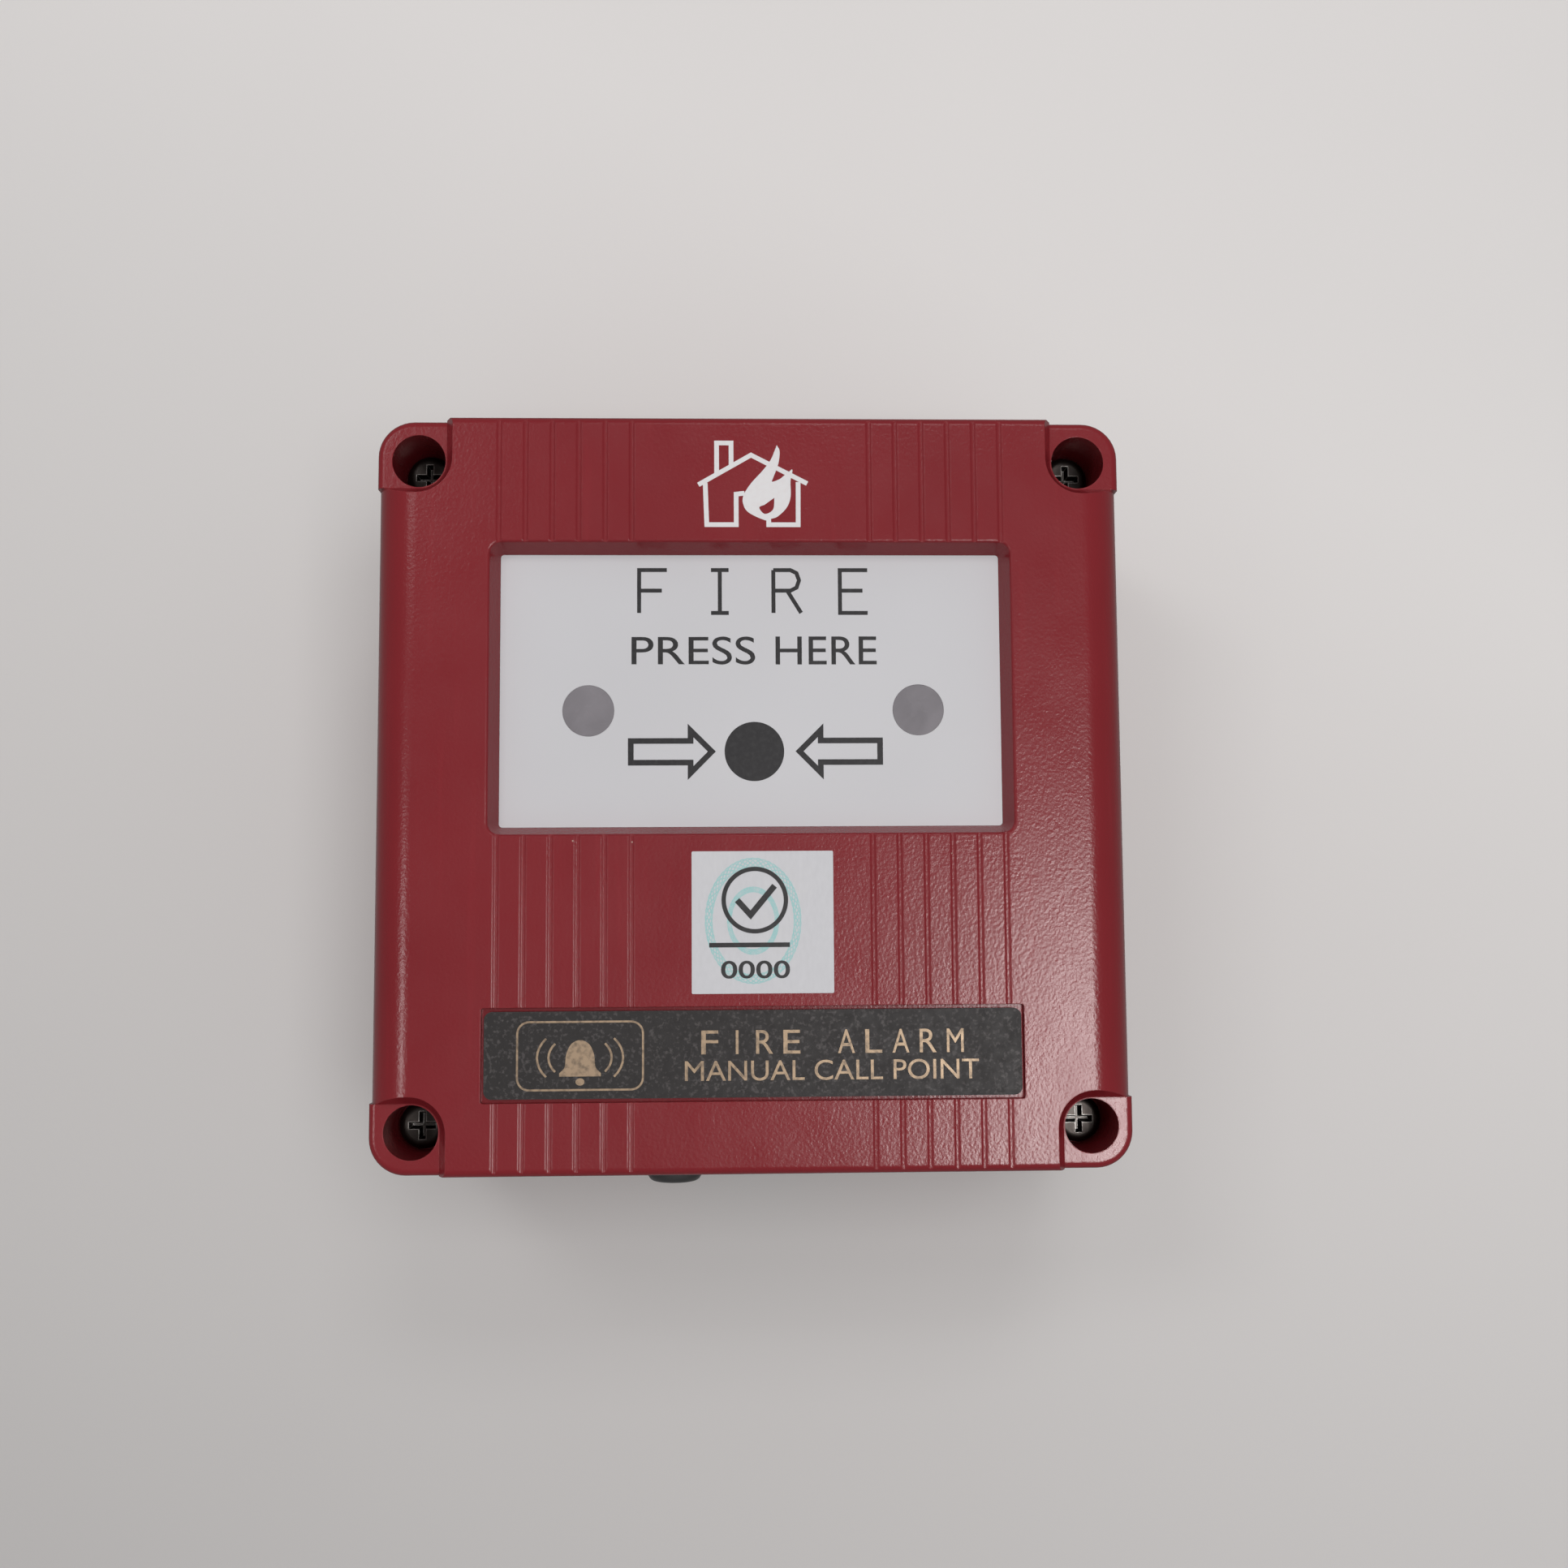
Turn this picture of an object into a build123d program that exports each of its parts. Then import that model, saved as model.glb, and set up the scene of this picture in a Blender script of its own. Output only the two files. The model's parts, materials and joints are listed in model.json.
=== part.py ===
from build123d import *
import os
from math import atan, degrees, hypot

# Manual call point for surface mounting on a wall.
# Millimetres. The back mounting face is y = 0, the front faces -Y, up is +Z,
# and the origin is the centre of the back mounting face.

# ---------------------------------------------------------------- driving dimensions
width = 108.0                      # outline of cover and box, in x and z
depth = 56.0                       # wall to front plateau
cover_depth = 23.4                 # front plateau to the cover's rear rim
box_depth = 31.4                   # wall to the box's front rim
wall = 3.0                         # side walls
corner_radius = 5.25
front_wall = 3.5

screw_pitch = 96.0                 # cover screws, square pattern
screw_radius = 2.0                 # M4
screw_clearance_radius = 2.25
counterbore_diameter = 7.7
counterbore_floor = 15.0           # below the plateau
cover_screw_length = 20.0

window_x, window_z = 0.0, 14.6     # centre of the press plate window
window_width, window_height = 72.4, 39.6
window_slope = 1.25                # how far the window's walls lean back over the front wall
window_rim_radius = 0.45

plate_width, plate_height, plate_thickness = 77.0, 44.0, 1.6
hinge_y, hinge_z = -48.0, 38.5
hinge_pin_radius = 1.25

latch_x = -11.5                    # line of the reset keyway and latch slider
keyway_y = -40.0

# ---------------------------------------------------------------- derived places
half = width / 2
front = -depth                     # plateau
rim_y = front + cover_depth        # cover's rear rim
box_rim_y = -box_depth             # box's front rim
inner_half = half - wall
plate_front = front + front_wall
plate_rear = plate_front + plate_thickness
screw_xy = screw_pitch / 2
screw_sites = [(x, z) for x in (-screw_xy, screw_xy) for z in (-screw_xy, screw_xy)]
counterbore_y = front + counterbore_floor

carrier_thickness = 2.5
plate_corner_radius = 2.0
carrier_rear = plate_rear + carrier_thickness
chassis_front, chassis_rear = -43.0, -41.0
board_front, board_rear = -36.0, -34.4
plate_high_z = window_z + plate_height / 2

led_sites = [(-23.5, 11.6), (24.2, 11.65)]
press_x, press_z = 0.4, 5.65       # the spot that the finger pushes

os.makedirs("parts", exist_ok=True)


def front_plane(y):
    """Sketch plane parallel to the wall at height y: x is +X, y is +Z, normal is -Y."""
    return Plane(origin=(0, y, 0), x_dir=(1, 0, 0), z_dir=(0, -1, 0))


def save(part, name):
    part.label = name
    export_step(part, f"parts/{name}.step")


def corner_posts():
    """Sketch of the four solid corners around the cover screws, to be taken from a cavity."""
    post = 20.0
    reach = screw_xy + 3.0
    with Locations([(x, z) for x in (-reach, reach) for z in (-reach, reach)]):
        RectangleRounded(post, post, 6.0, mode=Mode.SUBTRACT)


# ---------------------------------------------------------------- front cover
land_drop = 2.5                    # corner lands below the plateau
land_radius, land_radius_top = 4.0, 5.2
land_slope = degrees(atan((land_radius_top - land_radius) / land_drop))
land_size = 20.0                   # of the square that each land is the corner of
land_reach = screw_xy - land_radius + land_size / 2
land_sites = [(x, z) for x in (-land_reach, land_reach) for z in (-land_reach, land_reach)]
shoulder_start = 47.9              # where the flat ends on each side
shoulder_drop = 5.7
raised_base = front + 6.5          # the raised front is made down to here
band_radius = 1.2                  # along the raised front's top and bottom edges
land_edge_radius = 1.0
groove_depth = 0.17
groove_floor, groove_mouth = 0.3, 0.9
groove_lines = [17.1 + 3.8 * i for i in range(6)]
groove_runs = [(35.4, 55.0), (-30.7, -6.3), (-55.0, -43.7)]
nameplate_x, nameplate_z = 0.1, -37.25
nameplate_recess_width, nameplate_recess_height, nameplate_recess_depth = 76.2, 13.2, 1.0
boss_sites = [(-45.0, 28.0), (45.0, 28.0), (-45.0, -18.0), (45.0, -18.0)]
boss_radius, boss_hole_radius, boss_hole_depth = 3.0, 1.25, 7.5
lug_x, lug_thickness, lug_height = 42.0, 3.0, 6.0
lug_rear = hinge_y + 3.0
inner_corner_radius = 3.0
keyway_radius = 3.0

with BuildPart() as raised_front:
    # everything above the corner lands
    with BuildSketch(front_plane(raised_base)):
        RectangleRounded(width, width, corner_radius)
    extrude(amount=raised_base - front)

    # rounded shoulders down both sides
    with BuildSketch(Plane.XY):
        with BuildLine():
            TangentArc((shoulder_start, front), (half, front + shoulder_drop), tangent=(1, 0))
            Polyline(
                (half, front + shoulder_drop),
                (half + 1, front + shoulder_drop),
                (half + 1, front - 1),
                (shoulder_start, front - 1),
                (shoulder_start, front),
            )
        make_face()
        mirror(about=Plane.YZ)
    extrude(amount=half, both=True, mode=Mode.SUBTRACT)

    # clear of the four corner lands, with leaning walls
    with BuildSketch(front_plane(raised_base)):
        with Locations(land_sites):
            RectangleRounded(land_size, land_size, land_radius)
    extrude(amount=raised_base - front - land_drop, mode=Mode.SUBTRACT)
    with BuildSketch(front_plane(front + land_drop)):
        with Locations(land_sites):
            RectangleRounded(land_size, land_size, land_radius)
    extrude(amount=land_drop, taper=-land_slope, mode=Mode.SUBTRACT)

    band_edges = raised_front.edges().filter_by(Axis.X).filter_by(
        lambda e: abs(abs(e.center().Z) - half) < 0.01 and abs(e.center().Y - front) < 0.01
    )
    fillet(band_edges, radius=band_radius)

with BuildPart() as front_cover:
    # solid block, the four corner lands and the raised front on it
    with BuildSketch(front_plane(rim_y)):
        RectangleRounded(width, width, corner_radius)
    extrude(amount=rim_y - raised_base)
    with BuildSketch(front_plane(raised_base)):
        with Locations(land_sites):
            RectangleRounded(land_size, land_size, land_radius)
        RectangleRounded(width, width, corner_radius, mode=Mode.INTERSECT)
    extrude(amount=raised_base - front - land_drop)
    land_edges = front_cover.edges().filter_by(
        lambda e: abs(e.center().Y - front - land_drop) < 0.01
        and (max(abs(e.center().X), abs(e.center().Z)) > half - 0.1
             or hypot(e.center().X, e.center().Z) > hypot(screw_xy, screw_xy))
    )
    fillet(land_edges, radius=land_edge_radius)
    add(raised_front.part)

    # window, its walls leaning outwards
    with BuildSketch(front_plane(plate_front)):
        with Locations((window_x, window_z)):
            RectangleRounded(window_width, window_height, 0.5)
    extrude(
        amount=front_wall,
        taper=-degrees(atan(window_slope / front_wall)),
        mode=Mode.SUBTRACT,
    )
    window_rim = front_cover.edges().filter_by(
        lambda e: abs(e.center().Y - front) < 0.01
        and abs(e.center().X - window_x) < window_width / 2 + 2
        and abs(e.center().Z - window_z) < window_height / 2 + 2
    )
    fillet(window_rim, radius=window_rim_radius)

    # nameplate recess
    with BuildSketch(front_plane(front + nameplate_recess_depth)):
        with Locations((nameplate_x, nameplate_z)):
            RectangleRounded(nameplate_recess_width, nameplate_recess_height, 0.4)
    extrude(amount=nameplate_recess_depth, mode=Mode.SUBTRACT)

    # fine grooves with leaning walls
    with BuildSketch(front_plane(front + groove_depth)):
        for low, high in groove_runs:
            sites = [(side * x, (low + high) / 2) for x in groove_lines for side in (-1, 1)]
            with Locations(sites):
                Rectangle(groove_floor, high - low)
    groove_taper = degrees(atan((groove_mouth - groove_floor) / 2 / groove_depth))
    extrude(amount=groove_depth, taper=-groove_taper, mode=Mode.SUBTRACT)

    # hollow behind the front wall, with solid corners for the screws
    with BuildSketch(front_plane(rim_y)):
        RectangleRounded(2 * inner_half, 2 * inner_half, inner_corner_radius)
        corner_posts()
    extrude(amount=cover_depth - front_wall, mode=Mode.SUBTRACT)

    # screw counterbores and clearance holes
    with BuildSketch(front_plane(counterbore_y)):
        with Locations(screw_sites):
            Circle(counterbore_diameter / 2)
    extrude(amount=counterbore_floor, mode=Mode.SUBTRACT)
    with BuildSketch(front_plane(rim_y)):
        with Locations(screw_sites):
            Circle(screw_clearance_radius)
    extrude(amount=cover_depth, mode=Mode.SUBTRACT)

    # bosses that the chassis is screwed to
    with BuildSketch(front_plane(chassis_front)):
        with Locations(boss_sites):
            Circle(boss_radius)
    extrude(amount=chassis_front - plate_front)
    with BuildSketch(front_plane(chassis_front)):
        with Locations(boss_sites):
            Circle(boss_hole_radius)
    extrude(amount=boss_hole_depth, mode=Mode.SUBTRACT)

    # lugs that hold the plate's hinge pin
    with BuildSketch(front_plane(lug_rear)):
        with Locations((-lug_x, hinge_z), (lug_x, hinge_z)):
            Rectangle(lug_thickness, lug_height)
    extrude(amount=lug_rear - plate_front)
    with BuildSketch(Plane.YZ):
        with Locations((hinge_y, hinge_z)):
            Circle(hinge_pin_radius + 0.03)
    extrude(amount=lug_x + lug_thickness / 2, both=True, mode=Mode.SUBTRACT)

    # keyway for the reset key, through the bottom wall
    with BuildSketch(Plane.XY.offset(-half)):
        with Locations((latch_x, keyway_y)):
            Circle(keyway_radius)
    extrude(amount=wall, mode=Mode.SUBTRACT)
save(front_cover.part, "front_cover")

# ---------------------------------------------------------------- gasket between cover and box
gasket_width = width - 1.6
gasket_opening = 2 * inner_half - 0.6
gasket_pad = 15.0                  # square pads around the cover screws
gasket_hole_radius = 2.6

with BuildPart() as cover_gasket:
    with BuildSketch(front_plane(box_rim_y)):
        RectangleRounded(gasket_width, gasket_width, corner_radius - 0.8)
        RectangleRounded(gasket_opening, gasket_opening, inner_corner_radius, mode=Mode.SUBTRACT)
        reach = screw_xy + 1.6
        with Locations([(x, z) for x in (-reach, reach) for z in (-reach, reach)]):
            RectangleRounded(gasket_pad, gasket_pad, 5.0)
        RectangleRounded(gasket_width, gasket_width, corner_radius - 0.8, mode=Mode.INTERSECT)
        with Locations(screw_sites):
            Circle(gasket_hole_radius, mode=Mode.SUBTRACT)
    extrude(amount=box_rim_y - rim_y)
save(cover_gasket.part, "cover_gasket")

# ---------------------------------------------------------------- back box
insert_length = 8.0
insert_radius = 2.9
insert_bore_radius = screw_radius + 0.05
pocket_radius, pocket_extra = 2.2, 5.0   # room for the screw's end behind the insert
back_edge_radius = 1.2
pad_radius, pad_height = 5.5, 2.0        # around the wall screws
wall_screw_pitch = 60.0
wall_screw_radius = 2.25
grommet_z = 18.0
cable_hole_radius = 11.0
grommet_recess_radius, grommet_recess_depth = 14.0, 1.2
entry_y = -15.7
entry_radius = 10.1
wall_screw_sites = [
    (x, z)
    for x in (-wall_screw_pitch / 2, wall_screw_pitch / 2)
    for z in (-wall_screw_pitch / 2, wall_screw_pitch / 2)
]

with BuildPart() as back_box:
    with BuildSketch(front_plane(0)):
        RectangleRounded(width, width, corner_radius)
    extrude(amount=box_depth)
    fillet(back_box.faces().sort_by(Axis.Y)[-1].edges(), radius=back_edge_radius)

    # hollow, open to the front
    with BuildSketch(front_plane(-wall)):
        RectangleRounded(2 * inner_half, 2 * inner_half, inner_corner_radius)
        corner_posts()
    extrude(amount=box_depth - wall, mode=Mode.SUBTRACT)

    # pockets for the threaded inserts, deeper than the screws reach
    with BuildSketch(front_plane(box_rim_y + insert_length)):
        with Locations(screw_sites):
            Circle(insert_radius)
    extrude(amount=insert_length, mode=Mode.SUBTRACT)
    with BuildSketch(front_plane(box_rim_y + insert_length + pocket_extra)):
        with Locations(screw_sites):
            Circle(pocket_radius)
    extrude(amount=pocket_extra, mode=Mode.SUBTRACT)

    # raised pads and holes for the wall screws
    with BuildSketch(front_plane(-wall)):
        with Locations(wall_screw_sites):
            Circle(pad_radius)
    extrude(amount=pad_height)
    with BuildSketch(front_plane(0)):
        with Locations(wall_screw_sites):
            Circle(wall_screw_radius)
    extrude(amount=wall + pad_height, mode=Mode.SUBTRACT)

    # cable hole through the back, recessed for the grommet's flange
    with BuildSketch(front_plane(0)):
        with Locations((0, grommet_z)):
            Circle(cable_hole_radius)
    extrude(amount=wall, mode=Mode.SUBTRACT)
    with BuildSketch(front_plane(0)):
        with Locations((0, grommet_z)):
            Circle(grommet_recess_radius)
    extrude(amount=grommet_recess_depth, mode=Mode.SUBTRACT)

    # cable entry through the bottom wall
    with BuildSketch(Plane.XY.offset(-half)):
        with Locations((0, entry_y)):
            Circle(entry_radius)
    extrude(amount=wall, mode=Mode.SUBTRACT)
save(back_box.part, "back_box")

# ---------------------------------------------------------------- threaded inserts
with BuildPart() as threaded_inserts:
    with BuildSketch(front_plane(box_rim_y + insert_length)):
        with Locations(screw_sites):
            Circle(insert_radius - 0.02)
            Circle(insert_bore_radius, mode=Mode.SUBTRACT)
    extrude(amount=insert_length - 0.2)
save(threaded_inserts.part, "threaded_inserts")

# ---------------------------------------------------------------- cover screws and their seals
seal_thickness, seal_radius, seal_edge_radius = 0.8, 3.6, 0.3
head_height, head_radius, head_edge_radius = 2.6, 3.5, 1.2
recess_width, recess_slot, recess_depth = 4.0, 1.0, 1.6
head_seat_y = counterbore_y - seal_thickness


def cross_recess(across, slot, into, top_plane, sites):
    """Cut a cross recess that narrows downwards into heads whose tops lie on top_plane."""
    with BuildSketch(top_plane) as recess:
        with Locations(sites):
            Rectangle(across, slot)
            Rectangle(slot, across)
    extrude(recess.sketch, amount=-into, taper=12.0, mode=Mode.SUBTRACT)


with BuildPart() as cover_screws:
    with BuildSketch(front_plane(head_seat_y)):
        with Locations(screw_sites):
            Circle(head_radius)
    extrude(amount=head_height)
    head_edges = cover_screws.faces().filter_by(Axis.Y).group_by(Axis.Y)[0].edges()
    fillet(head_edges, radius=head_edge_radius)
    with BuildSketch(front_plane(head_seat_y)):
        with Locations(screw_sites):
            Circle(screw_radius)
    extrude(amount=-cover_screw_length)
    head_top = front_plane(head_seat_y - head_height)
    cross_recess(recess_width, recess_slot, recess_depth, head_top, screw_sites)
save(cover_screws.part, "cover_screws")

with BuildPart() as screw_seals:
    with BuildSketch(front_plane(counterbore_y)):
        with Locations(screw_sites):
            Circle(seal_radius)
            Circle(screw_radius + 0.05, mode=Mode.SUBTRACT)
    extrude(amount=seal_thickness)
    outer_edges = screw_seals.edges().filter_by(GeomType.CIRCLE).filter_by(lambda e: e.radius > 3)
    fillet(outer_edges, radius=seal_edge_radius)
save(screw_seals.part, "screw_seals")

# ---------------------------------------------------------------- press plate and its lenses
lens_radius = 3.7
lens_gap = 0.02

with BuildPart() as press_plate:
    with BuildSketch(front_plane(plate_rear)):
        with Locations((window_x, window_z)):
            RectangleRounded(plate_width, plate_height, plate_corner_radius)
        with Locations(led_sites):
            Circle(lens_radius + lens_gap, mode=Mode.SUBTRACT)
    extrude(amount=plate_thickness)
save(press_plate.part, "press_plate")

for name, site in zip(("indicator_lens_left", "indicator_lens_right"), led_sites):
    with BuildPart() as lens:
        with BuildSketch(front_plane(plate_rear)):
            with Locations(site):
                Circle(lens_radius)
        extrude(amount=plate_thickness)
    save(lens.part, name)

# ---------------------------------------------------------------- plate carrier
# A light frame behind the plate. Its knuckles turn on the hinge pin, its post pushes the
# switch plunger, and its hooked tongue works the latch.
knuckle_x, knuckle_width, knuckle_radius = 34.0, 6.0, 2.6
knuckle_clearance = 0.06
ring_width = 4.5
web_width, crossbar_height = 10.0, 4.0
latch_pad_z, latch_pad_width, latch_pad_height = -3.0, 9.0, 8.0
spring_pad = 8.0
light_eye_outer, light_eye_inner = 6.0, 4.3
post_radius, post_tip_radius = 2.5, 1.0
post_tip_y = -45.9
spring_sites = [(-30.0, -2.0), (30.0, -2.0)]
spigot_radius, spigot_height, seat_height = 1.5, 1.0, 0.8
tongue_width = 5.0
hook_face_y = -41.75               # front face of the hook
hook_tip_y = -40.95
hook_top_z, neck_top_z, neck_low_z = -3.5, -5.2, -7.0

with BuildPart() as plate_carrier:
    # ring, cross-shaped web and light tubes' eyes
    with BuildSketch(front_plane(carrier_rear)):
        with Locations((window_x, window_z)):
            RectangleRounded(plate_width, plate_height, plate_corner_radius)
            RectangleRounded(
                plate_width - 2 * ring_width,
                plate_height - 2 * ring_width,
                plate_corner_radius,
                mode=Mode.SUBTRACT,
            )
        with Locations((press_x, window_z)):
            Rectangle(web_width, plate_height - ring_width)
        with Locations((0, led_sites[0][1])):
            Rectangle(plate_width - ring_width, crossbar_height)
        with Locations((latch_x, latch_pad_z)):
            Rectangle(latch_pad_width, latch_pad_height)
        with Locations(spring_sites):
            Rectangle(spring_pad, spring_pad)
        with Locations(led_sites):
            Circle(light_eye_outer)
            Circle(light_eye_inner, mode=Mode.SUBTRACT)
    extrude(amount=carrier_thickness)

    # knuckles around the hinge pin, joined to the ring by a web
    with BuildSketch(Plane.YZ):
        with Locations((hinge_y, hinge_z)):
            Circle(knuckle_radius)
        with Locations(((carrier_rear + plate_rear) / 2, plate_high_z - 1.0)):
            Rectangle(carrier_thickness, 5.0)
    extrude(amount=knuckle_x + knuckle_width / 2, both=True)
    with BuildSketch(Plane.YZ):
        with Locations((hinge_y, hinge_z)):
            Rectangle(9.0, 6.4)
    extrude(amount=knuckle_x - knuckle_width / 2, both=True, mode=Mode.SUBTRACT)
    with BuildSketch(Plane.YZ):
        with Locations((hinge_y, hinge_z)):
            Circle(hinge_pin_radius + knuckle_clearance)
    extrude(amount=plate_width, both=True, mode=Mode.SUBTRACT)

    # post behind the press spot
    with BuildSketch(front_plane(post_tip_y)):
        with Locations((press_x, press_z)):
            Circle(post_radius)
    extrude(amount=post_tip_y - carrier_rear)
    post_tip = plate_carrier.faces().filter_by(Axis.Y).sort_by(Axis.Y)[-1]
    fillet(post_tip.edges(), radius=post_tip_radius)

    # spigots that locate the return springs
    with BuildSketch(front_plane(carrier_rear + spigot_height)):
        with Locations(spring_sites):
            Circle(spigot_radius)
    extrude(amount=spigot_height)

    # hooked latch tongue
    with BuildSketch(Plane.YZ.offset(latch_x)):
        with BuildLine():
            Polyline(
                (carrier_rear, neck_low_z),
                (carrier_rear, neck_top_z + 1.5),
                (carrier_rear + 1.5, neck_top_z),
                (hook_face_y, neck_top_z),
                (hook_face_y, hook_top_z),
                (hook_tip_y, hook_top_z - 0.2),
                (hook_tip_y, neck_low_z),
                (carrier_rear, neck_low_z),
            )
        make_face()
    extrude(amount=tongue_width / 2, both=True)
save(plate_carrier.part, "plate_carrier")

with BuildPart() as hinge_pin:
    with BuildSketch(Plane.YZ.offset(-lug_x - lug_thickness / 2 - 0.5)):
        with Locations((hinge_y, hinge_z)):
            Circle(hinge_pin_radius)
    extrude(amount=2 * lug_x + lug_thickness + 1.0)
    chamfer(hinge_pin.edges().filter_by(GeomType.CIRCLE), length=0.3)
save(hinge_pin.part, "hinge_pin")

# ---------------------------------------------------------------- chassis
chassis_width, chassis_height, chassis_z = 98.0, 60.0, 3.0
light_shroud_inner, light_shroud_outer, light_shroud_height = 3.3, 4.3, 2.6
fixing_hole_radius = 1.6           # for the chassis screws and for the switch plunger
standoff_radius, standoff_hole_radius = 3.0, 1.05
rail_gap, rail_wall, rail_lip = 0.2, 1.2, 1.0
rail_low_z, rail_length = -27.0, 28.0
stop_width, stop_thickness = 6.0, 1.6
slider_width, slider_thickness = 7.0, 2.0
slider_front = chassis_rear + 0.1
slider_rear = slider_front + slider_thickness
slider_low_z, slider_high_z = -45.0, 3.0
window_bar_z = -1.2                # underside of the bar that the hook catches
latch_spring_top = 13.0
board_screw_sites = [(-33.0, 27.0), (33.0, 27.0), (-33.0, -22.0), (33.0, -22.0)]
led_radius = 2.5

with BuildPart() as chassis:
    with BuildSketch(front_plane(chassis_rear)):
        with Locations((0, chassis_z)):
            RectangleRounded(chassis_width, chassis_height, 3.0)
        # way through for the tongue, and for the latch spring
        with Locations((latch_x, -4.5)):
            Rectangle(tongue_width + 1.6, 9.0, mode=Mode.SUBTRACT)
        with Locations((latch_x, 8.0)):
            Rectangle(5.4, 10.0, mode=Mode.SUBTRACT)
        with Locations(led_sites):
            Circle(light_shroud_inner, mode=Mode.SUBTRACT)
        with Locations((press_x, press_z), *boss_sites):
            Circle(fixing_hole_radius, mode=Mode.SUBTRACT)
    extrude(amount=chassis_rear - chassis_front)

    # shrouds that keep each lamp's light to its own lens
    with BuildSketch(front_plane(chassis_front)):
        with Locations(led_sites):
            Circle(light_shroud_outer)
            Circle(light_shroud_inner, mode=Mode.SUBTRACT)
    extrude(amount=light_shroud_height)

    # seats for the return springs
    with BuildSketch(front_plane(chassis_front)):
        with Locations(spring_sites):
            Circle(spigot_radius)
    extrude(amount=seat_height)

    # standoffs for the circuit board
    with BuildSketch(front_plane(board_front)):
        with Locations(board_screw_sites):
            Circle(standoff_radius)
    extrude(amount=board_front - chassis_rear)
    with BuildSketch(front_plane(board_front)):
        with Locations(board_screw_sites):
            Circle(standoff_hole_radius)
    extrude(amount=board_front - chassis_front - 0.5, mode=Mode.SUBTRACT)

    # lipped rails that guide the latch slider
    rail_x = slider_width / 2 + rail_gap
    lip_front = slider_rear + rail_gap
    lip_rear = lip_front + rail_lip
    for side in (-1, 1):
        x_in = latch_x + side * rail_x
        x_out = latch_x + side * (rail_x + rail_wall)
        x_lip = latch_x + side * (rail_x - rail_lip)
        with BuildSketch(Plane.XY.offset(rail_low_z)):
            with BuildLine():
                Polyline(
                    (x_in, chassis_rear),
                    (x_in, lip_front),
                    (x_lip, lip_front),
                    (x_lip, lip_rear),
                    (x_out, lip_rear),
                    (x_out, chassis_rear),
                    (x_in, chassis_rear),
                )
            make_face()
        extrude(amount=rail_length)

    # stop above the latch spring
    stop_rear = slider_rear + stop_thickness / 2
    with BuildSketch(front_plane(stop_rear)):
        with Locations((latch_x, latch_spring_top + stop_thickness / 2)):
            Rectangle(stop_width, stop_thickness)
    extrude(amount=stop_rear - chassis_rear)
save(chassis.part, "chassis")


def small_screws(seat_y, sites, radius, length, across, height):
    """Screws driven from the back, each with a rounded head and a cross recess."""
    with BuildPart() as screws:
        with BuildSketch(front_plane(seat_y)):
            with Locations(sites):
                Circle(across / 2)
        extrude(amount=-height)
        fillet(screws.faces().filter_by(Axis.Y).group_by(Axis.Y)[-1].edges(), radius=0.4 * height)
        with BuildSketch(front_plane(seat_y)):
            with Locations(sites):
                Circle(radius)
        extrude(amount=length)
        with BuildSketch(front_plane(seat_y + height)):
            with Locations(sites):
                Rectangle(0.57 * across, 0.15 * across)
                Rectangle(0.15 * across, 0.57 * across)
        extrude(amount=0.55 * height, taper=10.0, mode=Mode.SUBTRACT)
    return screws.part


save(small_screws(chassis_rear, boss_sites, 1.2, 8.0, 5.2, 2.0), "chassis_screws")

# ---------------------------------------------------------------- return springs and latch spring
def coil(base, direction, length, radius, wire, turns):
    """Add a compression spring, one closed helical wire, standing on its base point."""
    start = [b + d * wire / 2 for b, d in zip(base, direction)]
    free_height = length - wire
    with BuildLine() as path:
        Helix(
            pitch=free_height / turns,
            height=free_height,
            radius=radius,
            center=start,
            direction=direction,
        )
    with BuildSketch(Plane(origin=path.line @ 0, z_dir=path.line % 0)) as section:
        Circle(wire / 2)
    sweep(section.sketch, path=path.line, is_frenet=True)


with BuildPart() as return_springs:
    for x, z in spring_sites:
        coil((x, carrier_rear, z), (0, 1, 0), chassis_front - carrier_rear, 2.2, 0.5, 4)
save(return_springs.part, "return_springs")

latch_coil_y = (slider_front + slider_rear) / 2
latch_coil_length = latch_spring_top - slider_high_z
with BuildPart() as latch_spring:
    coil((latch_x, latch_coil_y, slider_high_z), (0, 0, 1), latch_coil_length, 1.7, 0.45, 7)
save(latch_spring.part, "latch_spring")

# ---------------------------------------------------------------- latch slider
# A flat strip on the chassis's back. The hook passes through its window and catches behind
# the thinned bar. The reset key pushes its foot upwards.
window_low_z = -9.0
bar_thickness = 0.8

with BuildPart() as latch_slider:
    with BuildSketch(front_plane(slider_rear)):
        with Locations((latch_x, (slider_low_z + slider_high_z) / 2)):
            RectangleRounded(slider_width, slider_high_z - slider_low_z, 0.8)
        with Locations((latch_x, (window_bar_z + window_low_z) / 2)):
            Rectangle(tongue_width + 0.6, window_bar_z - window_low_z, mode=Mode.SUBTRACT)
    extrude(amount=slider_thickness)
    with BuildSketch(front_plane(slider_rear)):
        with Locations((latch_x, window_bar_z + 0.8)):
            Rectangle(tongue_width + 0.6, 1.7)
    extrude(amount=slider_thickness - bar_thickness, mode=Mode.SUBTRACT)
    # foot that takes the end of the key
    with BuildSketch(Plane.XY.offset(slider_low_z)):
        with Locations((latch_x, (slider_front + slider_rear) / 2)):
            Circle(2.6)
    extrude(amount=3.0)
save(latch_slider.part, "latch_slider")

# ---------------------------------------------------------------- circuit board and what it carries
pin_sites = [(press_x + dx, press_z) for dx in (-4.0, 0.0, 4.0)]
board_width, board_height, board_z = 72.0, 56.0, 2.5
board_hole_radius, pin_hole_radius = 1.35, 0.6

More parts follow.
